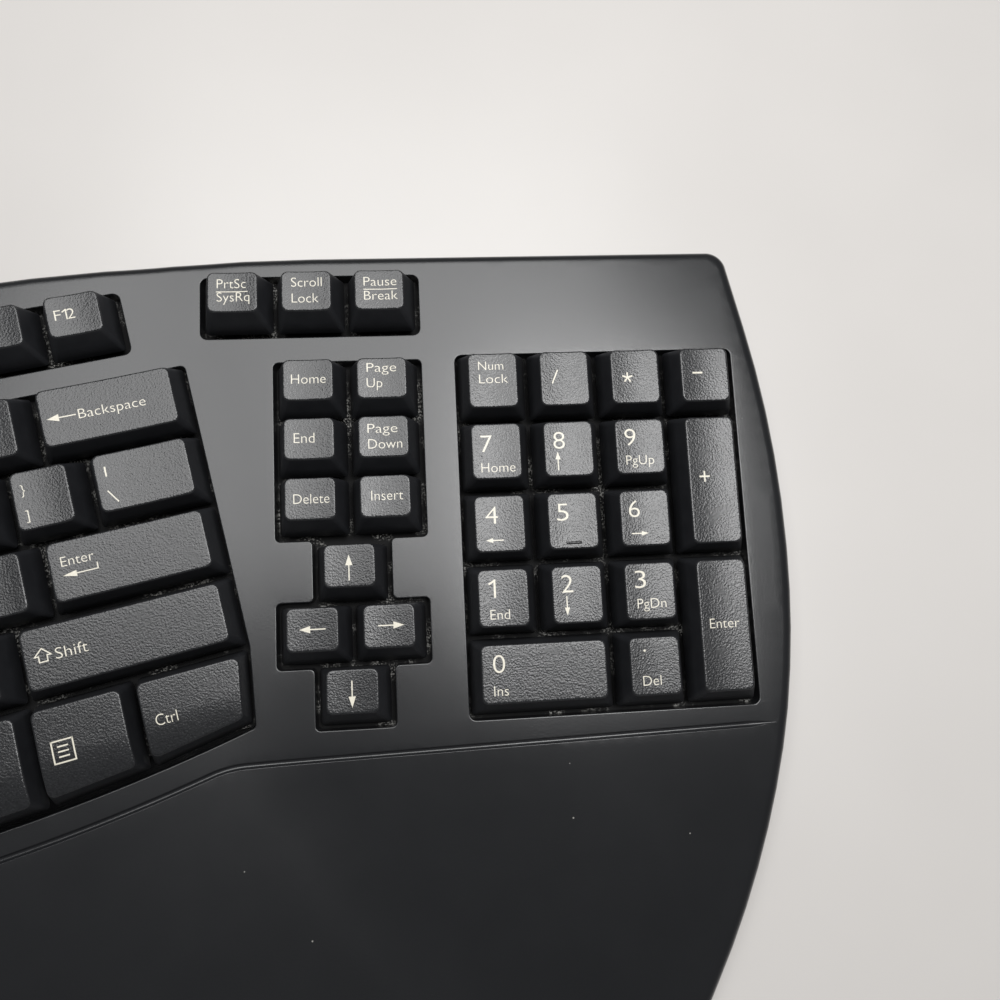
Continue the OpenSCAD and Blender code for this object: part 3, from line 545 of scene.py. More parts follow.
# Moulded ABS, charcoal: a spark-eroded mould gives it a fine matt grain of about 0.45 mm that breaks the light,
# with a faint cloudiness from handling and a few specks of dust.
case_abs = bpy.data.materials.new("moulded_abs_charcoal")
case_abs.use_nodes = True
tree = case_abs.node_tree
skin = tree.nodes["Principled BSDF"]
skin.inputs["IOR"].default_value = 1.54
where = put(tree, "ShaderNodeTexCoord")
grain = put(tree, "ShaderNodeTexNoise", {"Scale": 1000 / 0.45, "Detail": 2.0}, {"Vector": (where, "Object")})
cloud = put(tree, "ShaderNodeTexNoise", {"Scale": 1000 / 28, "Detail": 3.0}, {"Vector": (where, "Object")})
specks = put(tree, "ShaderNodeTexVoronoi", {"Scale": 1000 / 14}, {"Vector": (where, "Object")})
dust = put(
    tree,
    "ShaderNodeMapRange",
    {"From Min": 0.012, "From Max": 0.02, "To Min": 0.55, "To Max": 0.0},
    {"Value": (specks, "Distance")},
)
tone = put(
    tree, "ShaderNodeMix", {6: colour("#17181a"), 7: colour("#1d1e20")}, {0: (cloud, "Fac")}, data_type="RGBA"
)
dusty = put(tree, "ShaderNodeMix", {7: colour("#b4b2ad")}, {0: (dust, "Result"), 6: (tone, 2)}, data_type="RGBA")
tree.links.new(dusty.outputs[2], skin.inputs["Base Color"])
gloss = put(tree, "ShaderNodeMapRange", {"To Min": 0.22, "To Max": 0.27}, {"Value": (cloud, "Fac")})
tree.links.new(gloss.outputs["Result"], skin.inputs["Roughness"])
relief = put(tree, "ShaderNodeBump", {"Strength": 0.3, "Distance": 0.00005}, {"Height": (grain, "Fac")})
tree.links.new(relief.outputs["Normal"], skin.inputs["Normal"])

upper_case = solid("upper_case_shell", np.concatenate(case_points), case_faces, [case_abs], normals=case_normals)
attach(upper_case, "case")
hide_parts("upper_case")


# KEYPAD
# Seventeen hollow ABS caps, dished across, with a coarse spark-eroded top and smooth slanted sides; each has a
# moulded stem that slides in the key frame. The legends are printed in off-white ink.

key_rise = 7.5
skirt_drop = 0.6
cap_wall = 1.3
cap_dish = 0.4
cap_edge = 0.45
stem_w, stem_d, stem_end = 4.6, 3.6, 7.2
full_slants = (2.2, 2.6, 1.3, 2.6)
short_slants = (3.6, 2.6, 0.2, 2.6)


def sunk(corners, insets):
    """Corners of a four-sided outline whose sides are moved inward, each by its own inset."""
    corners = [np.array(c[:2], float) for c in corners]
    n = len(corners)
    moved_sides = []
    for i in range(n):
        run = corners[(i + 1) % n] - corners[i]
        run /= np.linalg.norm(run)
        moved_sides.append((corners[i] + np.array([-run[1], run[0]]) * insets[i], run))
    made = []
    for i in range(n):
        (p, a), (q, b) = moved_sides[i - 1], moved_sides[i]
        k = ((q - p)[0] * b[1] - (q - p)[1] * b[0]) / (a[0] * b[1] - a[1] * b[0])
        made.append(p + a * k)
    return made


def dished(top):
    """Top surface of a cap that is hollowed across, from side to side."""
    xs = [c[0] for c in top]
    at, half = (min(xs) + max(xs)) / 2, (max(xs) - min(xs)) / 2
    return lambda x, y: key_rise - cap_dish + cap_dish * ((x - at) / half) ** 2


def key_cap(base, slants, surface, stem=True):
    """Points, faces and material slots of a hollow cap: slot 0 is the side, slot 1 the top."""
    top = sunk(base, slants)
    height = surface(top)
    cuts = [max(2, round(np.linalg.norm(np.subtract(base[(i + 1) % 4], base[i])) / 3)) for i in range(4)]

    def ring(corners, radius, z=None):
        loop = rounded([(*c, radius) for c in corners], 22.5, cuts)
        return np.column_stack([loop, height(loop[:, 0], loop[:, 1]) if z is None else np.full(len(loop), z)])

    skirt = ring(base, 1.1, -skirt_drop)
    rim = ring(top, 1.7)
    crest = ring(sunk(top, [cap_edge] * 4), 1.35)
    drop = skirt - rim
    shoulder = rim + drop / np.linalg.norm(drop, axis=1)[:, None] * cap_edge
    ceiling = float(crest[:, 2].min()) - cap_wall
    hollow_top = ring(sunk(top, [cap_wall] * 4), 0.6, ceiling)
    hollow_low = ring(sunk(base, [cap_wall] * 4), 0.4, -skirt_drop)
    low, high = crest[:, :2].min(0), crest[:, :2].max(0)
    half = (high - low) / 2
    reach = np.maximum(half - half[::-1], 0)
    spine = (low + high) / 2 + np.clip(crest[:, :2] - (low + high) / 2, -reach, reach)
    roof = np.column_stack([spine, np.full(len(spine), ceiling)])
    rings = [roof, hollow_top, hollow_low, skirt, (skirt + shoulder) / 2] + lip(shoulder, rim, crest, 4)
    for share in (0.25, 0.5, 0.75, 1.0):
        at = crest[:, :2] + (spine - crest[:, :2]) * share
        rings.append(np.column_stack([at, height(at[:, 0], at[:, 1])]))
    points, faces = np.concatenate(rings), loft(len(skirt), len(rings))
    slots = [0] * (6 * len(skirt)) + [1] * (len(faces) - 6 * len(skirt))
    if stem:
        x, y = np.mean([np.min(base, axis=0), np.max(base, axis=0)], axis=0)
        bar = box(x - stem_w / 2, y - stem_d / 2, x + stem_w / 2, y + stem_d / 2)
        at = len(points)
        points = np.concatenate([points, [(*p, -stem_end) for p in bar], [(*p, ceiling + 0.1) for p in bar]])
        faces += [(at + 3, at + 2, at + 1, at)] + [tuple(at + k for k in f) for f in loft(4, 2)]
        slots += [0] * 5
    return points, faces, slots, crest, height


glyphs = {}


def lettering(text):
    """Flat points and faces of a line of text whose capitals are 1 high, from its lower left."""
    if text not in glyphs:
        line = bpy.data.curves.new("legend", "FONT")
        line.body = text
        line.resolution_u = 4
        line.offset = -0.012
        holder = bpy.data.objects.new("legend", line)
        flat = bpy.data.meshes.new_from_object(holder)
        points = np.array([v.co[:2] for v in flat.vertices]).reshape(-1, 2) / 0.69
        points[:, 0] -= points[:, 0].min()
        glyphs[text] = points, [tuple(p.vertices) for p in flat.polygons]
        bpy.data.objects.remove(holder)
        bpy.data.curves.remove(line)
        bpy.data.meshes.remove(flat)
    return glyphs[text]


def strokes(lines, width, fills=()):
    """Flat points and faces of drawn lines of one width, with filled outlines added."""
    points, faces = [], []
    for line in lines:
        for a, b in zip(line, line[1:]):
            length = np.linalg.norm(np.subtract(b, a))
            run = np.subtract(b, a) / length
            side = np.array([-run[1], run[0]]) * width / 2
            a, b = a - run * width * 0.45, b + run * width * 0.45
            cuts = math.ceil(length / 1.2)
            for k in range(cuts):
                c, d = a + (b - a) * k / cuts, a + (b - a) * (k + 1) / cuts
                faces.append(tuple(range(len(points), len(points) + 4)))
                points += [c - side, d - side, d + side, c + side]
    for fill in fills:
        faces.append(tuple(range(len(points), len(points) + len(fill))))
        points += [np.array(p, float) for p in fill]
    return np.array(points), faces


def arrow(degrees, length):
    """A thin arrow with a long narrow head, centred."""
    h, head, side = length / 2, 0.42 * length, 0.14 * length
    points, faces = strokes([[(-h, 0), (h - head, 0)]], 0.3, [[(h - head, -side), (h, 0), (h - head, side)]])
    return points @ np.array(Matrix.Rotation(math.radians(degrees), 2)).T, faces


# signs drawn with lines, in a capital height of 1
star = [[(0, 0), (0.34 * math.cos(a), 0.34 * math.sin(a))] for a in np.radians(np.arange(18, 360, 72))]
drawn = {
    "1": strokes([[(0.04, 0.76), (0.3, 0.95), (0.3, 0.04)]], 0.1),
    "|": strokes([[(0, 0.04), (0, 0.96)]], 0.17),
    "\\": strokes([[(0, 0.96), (0.58, 0.04)]], 0.09),
    "/": strokes([[(0, 0.04), (0.4, 0.96)]], 0.09),
    "*": strokes(star, 0.12),
}


def printed(marks, crest, height):
    """Points and faces of the legends of one key, each (what, x from the left, y from the rear, size). The size is
    the capital height, or the width and the height by which the lettering is scaled."""
    left, rear = crest[:, 0].min(), crest[:, 1].max()
    points, faces = [], []
    for what, x, y, size in marks:
        if isinstance(what, str):
            what = drawn[what] if what in drawn else lettering(what)
        flat, turns = what
        flat = flat * size + np.array([left + x, rear - y])
        at = sum(len(p) for p in points)
        points.append(np.column_stack([flat, height(flat[:, 0], flat[:, 1]) + 0.035]))
        faces += [tuple(at + k for k in turn) for turn in turns]
    return (np.concatenate(points) if points else np.zeros((0, 3))), faces


# Moulded ABS, black: the key tops have a coarse, half-gloss grain of about 0.46 mm, slightly polished by fingers.
key_top = bpy.data.materials.new("grained_abs_black")
key_top.use_nodes = True
tree = key_top.node_tree
skin = tree.nodes["Principled BSDF"]
skin.inputs["IOR"].default_value = 1.54
where = put(tree, "ShaderNodeTexCoord")
grain = put(tree, "ShaderNodeTexNoise", {"Scale": 1000 / 0.46, "Detail": 1.5}, {"Vector": (where, "Object")})
polish = put(tree, "ShaderNodeTexNoise", {"Scale": 1000 / 9, "Detail": 2.0}, {"Vector": (where, "Object")})
tone = put(
    tree, "ShaderNodeMix", {6: colour("#0e0f11"), 7: colour("#2b2c2e")}, {0: (grain, "Fac")}, data_type="RGBA"
)
tree.links.new(tone.outputs[2], skin.inputs["Base Color"])
gloss = put(tree, "ShaderNodeMapRange", {"To Min": 0.23, "To Max": 0.3}, {"Value": (polish, "Fac")})
tree.links.new(gloss.outputs["Result"], skin.inputs["Roughness"])
relief = put(tree, "ShaderNodeBump", {"Strength": 0.7, "Distance": 0.00012}, {"Height": (grain, "Fac")})
tree.links.new(relief.outputs["Normal"], skin.inputs["Normal"])

# Moulded ABS, black: the sides of the caps come from a smooth mould, so they are satin and look almost black.
key_side = bpy.data.materials.new("satin_abs_black")
key_side.use_nodes = True
tree = key_side.node_tree
skin = tree.nodes["Principled BSDF"]
skin.inputs["IOR"].default_value = 1.54
where = put(tree, "ShaderNodeTexCoord")
film = put(tree, "ShaderNodeTexNoise", {"Scale": 1000 / 4, "Detail": 4.0}, {"Vector": (where, "Object")})
tone = put(
    tree, "ShaderNodeMix", {6: colour("#1d1e21"), 7: colour("#27282b")}, {0: (film, "Fac")}, data_type="RGBA"
)
tree.links.new(tone.outputs[2], skin.inputs["Base Color"])
gloss = put(tree, "ShaderNodeMapRange", {"To Min": 0.36, "To Max": 0.5}, {"Value": (film, "Fac")})
tree.links.new(gloss.outputs["Result"], skin.inputs["Roughness"])

# Pad-printing ink, warm white: a thin matt film that lets a little of the grain through.
ink = bpy.data.materials.new("printing_ink_warm_white")
ink.use_nodes = True
tree = ink.node_tree
skin = tree.nodes["Principled BSDF"]
skin.inputs["Roughness"].default_value = 0.38
where = put(tree, "ShaderNodeTexCoord")
thin = put(tree, "ShaderNodeTexNoise", {"Scale": 1000 / 0.5, "Detail": 2.0}, {"Vector": (where, "Object")})
tone = put(
    tree, "ShaderNodeMix", {6: colour("#bcb7a8"), 7: colour("#e2decf")}, {0: (thin, "Fac")}, data_type="RGBA"
)
tree.links.new(tone.outputs[2], skin.inputs["Base Color"])


def homing_bar(crest, height):
    """Points and faces of the raised bar that the resting finger feels, near the front of a top."""
    x, y = (crest[:, 0].min() + crest[:, 0].max()) / 2, crest[:, 1].min() + 1.1
    z = float(height(np.array([x]), np.array([y]))[0])
    foot = [(*p, z - 0.1) for p in box(x - 2.1, y - 0.4, x + 2.1, y + 0.4)]
    ridge = [(*p, z + 0.33) for p in box(x - 1.9, y - 0.2, x + 1.9, y + 0.2)]
    return np.array(foot + ridge), [(3, 2, 1, 0), (4, 5, 6, 7)] + loft(4, 2)


def make_keys(node, body, matrix, keys):
    """One piece for a CAD node: its caps and their legends, from (base, slants, surface, marks)."""
    points, faces, slots, count = [], [], [], 0
    for base, slants, surface, marks in keys:
        cap, turns, kinds, crest, height = key_cap(base, slants, surface)
        added = [(cap, turns, kinds)]
        legend, legend_turns = printed(marks, crest, height)
        added.append((legend, legend_turns, [2] * len(legend_turns)))
        if len(marks) == 1 and marks[0][0] in ("5", "F", "J"):
            bar, bar_turns = homing_bar(crest, height)
            added.append((bar, bar_turns, [1] * len(bar_turns)))
        for piece, piece_turns, piece_slots in added:
            faces += [tuple(count + k for k in f) for f in piece_turns]
            slots += piece_slots
            points.append(piece)
            count += len(piece)
    made = solid(node + "_cap", moved(matrix, np.concatenate(points)), faces, [key_side, key_top, ink], slots)
    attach(made, body)
    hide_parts(node)
    return made


digit, word = (5.1, 4.6), (2.55, 2.55)
keypad = {
    "num_lock": (0, 0, 1, 1, [("Num", 2.2, 4.05, (2.42, 2.36)), ("Lock", 2.3, 7.65, (2.82, 2.45))]),
    "divide": (1, 0, 1, 1, [("/", 2.7, 8.2, 3.7)]),
    "multiply": (2, 0, 1, 1, [("*", 3.9, 7.1, 3.6)]),
    "minus": (3, 0, 1, 1, [(strokes([[(0, 0), (2.3, 0)]], 0.48), 2.9, 6.3, 1)]),
    "7": (0, 1, 1, 1, [("7", 1.9, 7.1, digit), ("Home", 1.85, 12.4, word)]),
    "8": (1, 1, 1, 1, [("8", 2.0, 6.8, digit), (arrow(90, 4.8), 3.0, 9.95, 1)]),
    "9": (2, 1, 1, 1, [("9", 2.0, 6.6, digit), ("PgUp", 2.05, 11.7, word)]),
    "plus": (3, 1, 1, 2, [(strokes([[(-1.25, 0), (1.25, 0)], [(0, -1.25), (0, 1.25)]], 0.42), 3.75, 15.5, 1)]),
    "4": (0, 2, 1, 1, [("4", 2.3, 6.85, digit), (arrow(180, 4.4), 4.4, 11.1, 1)]),
    "5": (1, 2, 1, 1, [("5", 1.85, 6.75, (5.8, 4.6))]),
    "6": (2, 2, 1, 1, [("6", 1.8, 6.6, digit), (arrow(0, 4.4), 4.5, 10.85, 1)]),
    "1": (0, 3, 1, 1, [("1", 2.3, 6.65, digit), ("End", 2.45, 12.2, word)]),
    "2": (1, 3, 1, 1, [("2", 2.0, 6.25, digit), (arrow(270, 4.8), 3.2, 9.65, 1)]),
    "3": (2, 3, 1, 1, [("3", 2.1, 6.0, (6.0, 4.6)), ("PgDn", 2.45, 11.2, word)]),
    "enter": (3, 3, 1, 2, [("Enter", 2.0, 17.2, word)]),
    "0": (0, 4, 2, 1, [("0", 2.5, 6.5, digit), ("Ins", 2.5, 12.15, word)]),
    "decimal": (2, 4, 1, 1, [(".", 3.1, 3.2, 4.4), ("Del", 2.55, 11.7, word)]),
}
for name, (column, row, wide, deep, marks) in keypad.items():
    longer = front_skirt if row + deep == 5 else 0
    base = box(
        column * pitch + half_gap,
        -(row + deep) * pitch + half_gap - longer,
        (column + wide) * pitch - half_gap,
        -row * pitch - half_gap,
    )
    slants = (full_slants[0] + longer, *full_slants[1:])
    make_keys(f"numpad_{name}_key", f"numpad_{name}", deck, [(base, slants, dished, marks)])


# NAVIGATION KEYS
# Thirteen short ABS caps: print screen, scroll lock and pause behind, six keys in two columns, and four arrows.
# They are made like the keypad keys, with a longer slant in front.

navigation = {
    "print_screen": (-1, f_rear, [("PrtSc", 2.05, 3.95, word), ("SysRq", 2.0, 7.55, word),
                                  (strokes([[(0, 0), (7.9, 0)]], 0.22), 1.95, 4.9, 1)]),
    "scroll_lock": (0, f_rear, [("Scroll", 2.1, 3.85, word), ("Lock", 2.2, 8.2, word)]),
    "pause": (1, f_rear, [("Pause", 1.95, 3.95, (2.75, 2.5)), ("Break", 2.0, 7.8, (2.7, 2.5)),
                          (strokes([[(0, 0), (8.6, 0)]], 0.22), 2.0, 4.9, 1)]),
    "home": (0, nav_y, [("Home", 1.7, 6.0, word)]),
    "page_up": (1, nav_y, [("Page", 2.1, 3.35, (3.1, 2.45)), ("Up", 2.05, 7.5, word)]),
    "end": (0, nav_y - short_pitch, [("End", 2.15, 6.05, (2.67, 2.67))]),
    "page_down": (1, nav_y - short_pitch, [("Page", 1.9, 4.0, (3.1, 2.45)), ("Down", 2.0, 8.15, word)]),
    "delete": (0, nav_y - 2 * short_pitch, [("Delete", 1.8, 6.2, (2.4, 2.55))]),
    "insert": (1, nav_y - 2 * short_pitch, [("Insert", 2.4, 6.05, (2.5, 2.6))]),
    "arrow_up": (0.5, arrow_y, [(arrow(90, 6.4), 5.8, 5.4, 1)]),
    "arrow_left": (0, arrow_y - short_pitch, [(arrow(180, 6.4), 5.9, 4.9, 1)]),
    "arrow_right": (1, arrow_y - short_pitch, [(arrow(0, 6.4), 6.5, 4.8, 1)]),
    "arrow_down": (0.5, arrow_y - 2 * short_pitch, [(arrow(270, 6.4), 5.85, 5.7, 1)]),
}
for name, (column, rear, marks) in navigation.items():
    x = nav_x + column * pitch
    base = box(x + half_gap, rear - short_pitch + half_gap, x + pitch - half_gap, rear - half_gap)
    make_keys(f"{name}_key", name, deck, [(base, short_slants, dished, marks)])


# HAND KEYS
# The function, number, letter and modifier keys of both hands, ABS caps on two tented and turned blocks. The
# bottom row is deeper, follows the bow and curves down to the front, so that a thumb can roll onto it.

low_slants = (2.4, 1.4, 1.3, 1.4)
key_bow = bow_r - front_play - well_gap - half_gap
bow_u = (bow_c[0] - half_x) * cg + (bow_c[1] - half_y) * sg
bow_v = (bow_c[1] - half_y) * cg - (bow_c[0] - half_x) * sg
roll, roll_depth = 1.4, 10.5


def rolled(top):
    """Top surface of a cap that is flat behind and curves down at the front."""
    start = min(c[1] for c in top) + roll_depth
    r = (roll_depth**2 + roll**2) / 2 / roll
    return lambda x, y: key_rise - r + np.sqrt(r * r - np.minimum(y - start, 0) ** 2)


def hand_key(hand, row, place, marks):
    """Base, slants, top surface and legends of one key of a hand block."""
    widths = hand_rows(hand, row)
    s = hand_start(hand, row) + sum(widths[:place])
    ends = (s + half_gap, s + widths[place] - half_gap)
    x0, x1 = (-ends[1], -ends[0]) if hand > 0 else ends
    if row == 5:
        return box(x0, row_gap + half_gap, x1, f_rear - half_gap), short_slants, dished, marks
    if row < 4:
        return box(x0, -(row + 1) * pitch + half_gap, x1, -row * pitch - half_gap), full_slants, dished, marks
    rear, fronts = -4 * pitch - half_gap, []
    for x in (x0, x1):
        v = bow_v - math.sqrt(key_bow**2 - (-abs(x) * ct - bow_u) ** 2)
        if place == 0 and abs(x) == ends[0]:
            x -= hand * (-4 * pitch - v) * math.tan(end_turn)
            v = bow_v - math.sqrt(key_bow**2 - (-abs(x) * ct - bow_u) ** 2)
        fronts.append((x, v))
    return [*fronts, (x1, rear), (x0, rear)], low_slants, rolled, marks


def single(text):
    """One letter at the rear left."""
    return [(text, 2.3, 5.6, (3.5, 3.2))]


def double(upper, under):
    """A shifted sign above a plain one."""
    return [(upper, 1.6, 5.25, 2.35), (under, 1.6, 11.6, 2.4)]


def function_name(number):
    """F and a number, set close together."""
    signs, x = [("F", 1.5, 6.0, (3.1, 2.75))], 3.4
    for figure in str(number):
        signs.append((figure, x, 6.0, (3.1, 2.75)))
        x += 1.1 if figure == "1" else 1.8
    return signs


raised = strokes([[(0, 0), (0, 1.5), (-0.95, 1.5), (1.0, 3.4), (2.95, 1.5), (2.0, 1.5), (2.0, 0), (0, 0)]], 0.3)
hooked = strokes([[(2.6, 0), (8.1, 0), (8.1, 1.4)]], 0.26, [[(3.2, 0.75), (0, 0), (3.2, -0.75)]])
sheet_mark = strokes(
    [
        [(0, 0), (4.7, 0), (4.7, 5.1), (0, 5.1), (0, 0)],
        [(1.3, 1.35), (3.4, 1.35)],
        [(1.3, 2.55), (3.4, 2.55)],
        [(1.3, 3.75), (3.4, 3.75)],
    ],
    0.34,
)
both_ways = strokes(
    [[(0, 1.2), (5, 1.2)], [(1, 0), (6, 0)]],
    0.24,
    [[(0, 1.2), (1.7, 0.7), (1.7, 1.7)], [(6, 0), (4.3, 0.5), (4.3, -0.5)]],
)
right_hand = {
    "f12_key": [(5, 0, function_name(12))],
    "backspace_key": [(0, 0, [(arrow(180, 6.6), 4.4, 7.15, 1), ("Backspace", 8.4, 8.4, (2.77, 2.5))])],
    "backslash_key": [(1, 0, [("|", 2.2, 5.2, 2.35), ("\\", 1.85, 12.1, 3.25)])],
    "bracket_key": [(1, 1, double("}", "]"))],
    "enter_key": [(2, 0, [("Enter", 2.3, 5.75, 2.45), (hooked, 2.15, 7.95, 1)])],
    "right_shift_key": [(3, 0, [(raised, 2.9, 7.75, 0.94), ("Shift", 6.6, 7.9, (2.95, 2.7))])],
    "right_ctrl_key": [(4, 0, [("Ctrl", 2.35, 10.5, (2.3, 2.75))])],
    "menu_key": [(4, 1, [(sheet_mark, 2.85, 12.6, 1)])],
    "right_function_keys": [(5, i + 1, function_name(11 - i)) for i in range(6)],
    "right_number_keys": [
        (0, i + 1, double(upper, under)) for i, (upper, under) in enumerate(zip("+_)(*&", "=-0987"))
    ],
    "right_letter_keys": [(1, 2, double("{", "["))]
    + [(1, i + 3, single(t)) for i, t in enumerate("POIUY")]
    + [(2, 1, double('"', "'")), (2, 2, double(":", ";"))]
    + [(2, i + 3, single(t)) for i, t in enumerate("LKJH")]
    + [(3, 1, double("?", "/")), (3, 2, double(">", ".")), (3, 3, double("<", ","))]
    + [(3, i + 4, single(t)) for i, t in enumerate("MN")],
    "right_modifier_keys": [(4, 2, []), (4, 3, [("Alt", 2.6, 10.5, (2.5, 2.75))])],
}
left_hand = {
    "left_function_keys": [(5, 0, [("Esc", 2.2, 6.0, word)])]
    + [(5, i + 1, function_name(i + 1)) for i in range(5)],
    "left_number_keys": [
        (0, i, double(upper, under)) for i, (upper, under) in enumerate(zip("~!@#$%^", "`123456"))
    ],
    "left_letter_keys": [
        (row, i + 1, single(t))
        for row, letters in ((1, "QWERT"), (2, "ASDFG"), (3, "ZXCVB"))
        for i, t in enumerate(letters)
    ],
    "left_modifier_keys": [
        (1, 0, [("Tab", 2.4, 5.6, word), (both_ways, 2.5, 10.6, 1)]),
        (2, 0, [("Caps Lock", 2.4, 5.8, word)]),
        (3, 0, [(raised, 2.9, 7.75, 0.94), ("Shift", 6.6, 7.9, (2.95, 2.7))]),
        (4, 0, [("Ctrl", 2.2, 10.5, (2.3, 2.75))]),
        (4, 1, []),
        (4, 2, [("Alt", 2.6, 10.5, (2.5, 2.75))]),
    ],
}
for hand, groups in ((1, right_hand), (-1, left_hand)):
    for node, keys in groups.items():
        body = node if node.endswith("_keys") else node[: -len("_key")]
        make_keys(node, body, halves[hand], [hand_key(hand, row, place, marks) for row, place, marks in keys])


# SPACE BAR
# One long ABS cap across the split. Its rear edge follows both hands, its front follows the bow, and its top
# curves down to the front like the rest of the bottom row. Two stems carry it.

bar_right = sum(hand_rows(1, 4))
bar_left = pitch + sum(hand_rows(-1, 4))
bar_rear = -4 * pitch - half_gap
rear_ends = [plan(-1, bar_left + half_gap, bar_rear)[0], plan(1, bar_right + half_gap, bar_rear)[0]]
front_ends = []
for hand, reach in ((-1, bar_left + half_gap), (1, bar_right + half_gap)):
    v = bow_v - math.sqrt(key_bow**2 - (-reach * ct - bow_u) ** 2)
    front_ends.append(plan(hand, reach, v)[0])
bar_length, bar_depth = rear_ends[1] - rear_ends[0], 22.0
bar_slants = (0.9, *low_slants[1:])
straight, bar_faces, bar_slots, _, _ = key_cap(
    box(0, 0, bar_length, bar_depth), bar_slants, rolled, stem=False
)
share, depth = straight[:, 0] / bar_length, straight[:, 1] / bar_depth
front_x = front_ends[0] + share * (front_ends[1] - front_ends[0])
rear_x = rear_ends[0] + share * (rear_ends[1] - rear_ends[0])
front = np.column_stack([front_x, bow_y(front_x, key_bow)])
mirrored = split_x + np.abs(rear_x - split_x)
rear = np.column_stack([rear_x, row_y(mirrored, bar_rear)])
bar = front + (rear - front) * depth[:, None]
bar = np.column_stack([bar, straight[:, 2] - 0.4 * (straight[:, 2] > 3) + tents(bar[:, 0], bar[:, 1])])
for x in (split_x - 42, split_x + 42):
    y = bow_y(split_x + 42, key_bow) + 13.5
    z = float(tents(np.array([x]), np.array([y]))[0])
    at = len(bar)
    post = box(x - stem_w / 2, y - stem_d / 2, x + stem_w / 2, y + stem_d / 2)
    bar = np.concatenate([bar, [(*p, z - stem_end) for p in post], [(*p, z + 3.0) for p in post]])
    bar_faces += [(at + 3, at + 2, at + 1, at)] + [tuple(at + k for k in f) for f in loft(4, 2)]
    bar_slots += [0] * 5
space_bar = solid("space_bar_cap", moved(deck, bar), bar_faces, [key_side, key_top, ink], bar_slots)
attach(space_bar, "space_bar")
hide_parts("space_bar")


# KEY FRAME
# Three black ABS plates with a guide sleeve for each stem. They lie under the wells, and grey dust has settled
# on them between the keys.

# Moulded ABS, black, with dust: the plastic is matt and nearly black, the dust lies in patches of crumbs of
# about 0.5 mm.
frame_abs = bpy.data.materials.new("matt_abs_black_with_dust")
frame_abs.use_nodes = True
tree = frame_abs.node_tree
skin = tree.nodes["Principled BSDF"]
skin.inputs["Roughness"].default_value = 0.75
skin.inputs["Specular IOR Level"].default_value = 0.25
where = put(tree, "ShaderNodeTexCoord")
patches = put(tree, "ShaderNodeTexNoise", {"Scale": 1000 / 7, "Detail": 2.0}, {"Vector": (where, "Object")})
crumbs = put(tree, "ShaderNodeTexNoise", {"Scale": 1000 / 0.5, "Detail": 3.0}, {"Vector": (where, "Object")})
spread = put(tree, "ShaderNodeMapRange", {"From Min": 0.5, "From Max": 0.68}, {"Value": (patches, "Fac")})
piled = put(tree, "ShaderNodeMapRange", {"From Min": 0.5, "From Max": 0.62}, {"Value": (crumbs, "Fac")})
dust = put(tree, "ShaderNodeMath", links={0: (spread, "Result"), 1: (piled, "Result")}, operation="MULTIPLY")
tone = put(
    tree, "ShaderNodeMix", {6: colour("#080809"), 7: colour("#a3a29e")}, {0: (dust, "Value")}, data_type="RGBA"
)
tree.links.new(tone.outputs[2], skin.inputs["Base Color"])
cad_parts["key_frame"].data.materials.clear()
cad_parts["key_frame"].data.materials.append(frame_abs)


# LOWER CASE AND TILT FEET
# The floor tray of the case and the two flaps that fold out under its rear edge, all moulded in the same
# charcoal ABS as the upper case. The flaps turn on pins in pockets of the tray.

for name in ("lower_case", "tilt_foot_right", "tilt_foot_left"):
    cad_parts[name].data.materials.clear()
    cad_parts[name].data.materials.append(case_abs)


# RUBBER FEET AND CABLE GLAND
# Six round rubber pads pressed into the floor, and the soft grommet in the rear wall where the cable comes in.

# Moulded rubber, black: dull, with a fine powdery grain of about 0.3 mm.
rubber = bpy.data.materials.new("moulded_rubber_black")
rubber.use_nodes = True
tree = rubber.node_tree
skin = tree.nodes["Principled BSDF"]
skin.inputs["Roughness"].default_value = 0.85
skin.inputs["IOR"].default_value = 1.5
where = put(tree, "ShaderNodeTexCoord")
grain = put(tree, "ShaderNodeTexNoise", {"Scale": 1000 / 0.3, "Detail": 3.0}, {"Vector": (where, "Object")})
tone = put(
    tree, "ShaderNodeMix", {6: colour("#131314"), 7: colour("#242425")}, {0: (grain, "Fac")}, data_type="RGBA"
)
tree.links.new(tone.outputs[2], skin.inputs["Base Color"])
relief = put(tree, "ShaderNodeBump", {"Strength": 0.3, "Distance": 0.00005}, {"Height": (grain, "Fac")})
tree.links.new(relief.outputs["Normal"], skin.inputs["Normal"])
for name in ("rubber_feet", "cable_gland"):
    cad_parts[name].data.materials.clear()
    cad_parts[name].data.materials.append(rubber)


# INDICATOR LENSES
# Three round light guides for the lock keys, moulded in milky polycarbonate and pressed into the deck between
# the hands.

# Moulded polycarbonate, milky green: glossy and slightly translucent, a little cloudy inside.
lens = bpy.data.materials.new("milky_polycarbonate")
lens.use_nodes = True
tree = lens.node_tree
skin = tree.nodes["Principled BSDF"]
skin.inputs["Roughness"].default_value = 0.18
skin.inputs["IOR"].default_value = 1.58
where = put(tree, "ShaderNodeTexCoord")
haze = put(tree, "ShaderNodeTexNoise", {"Scale": 1000 / 1.2, "Detail": 2.0}, {"Vector": (where, "Object")})
tone = put(
    tree, "ShaderNodeMix", {6: colour("#9aa894"), 7: colour("#c4cfbd")}, {0: (haze, "Fac")}, data_type="RGBA"
)
tree.links.new(tone.outputs[2], skin.inputs["Base Color"])
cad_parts["indicator_lenses"].data.materials.clear()
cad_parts["indicator_lenses"].data.materials.append(lens)


# CASE SCREWS
# Self-tapping steel screws that come up through the floor into the bosses of the upper case.

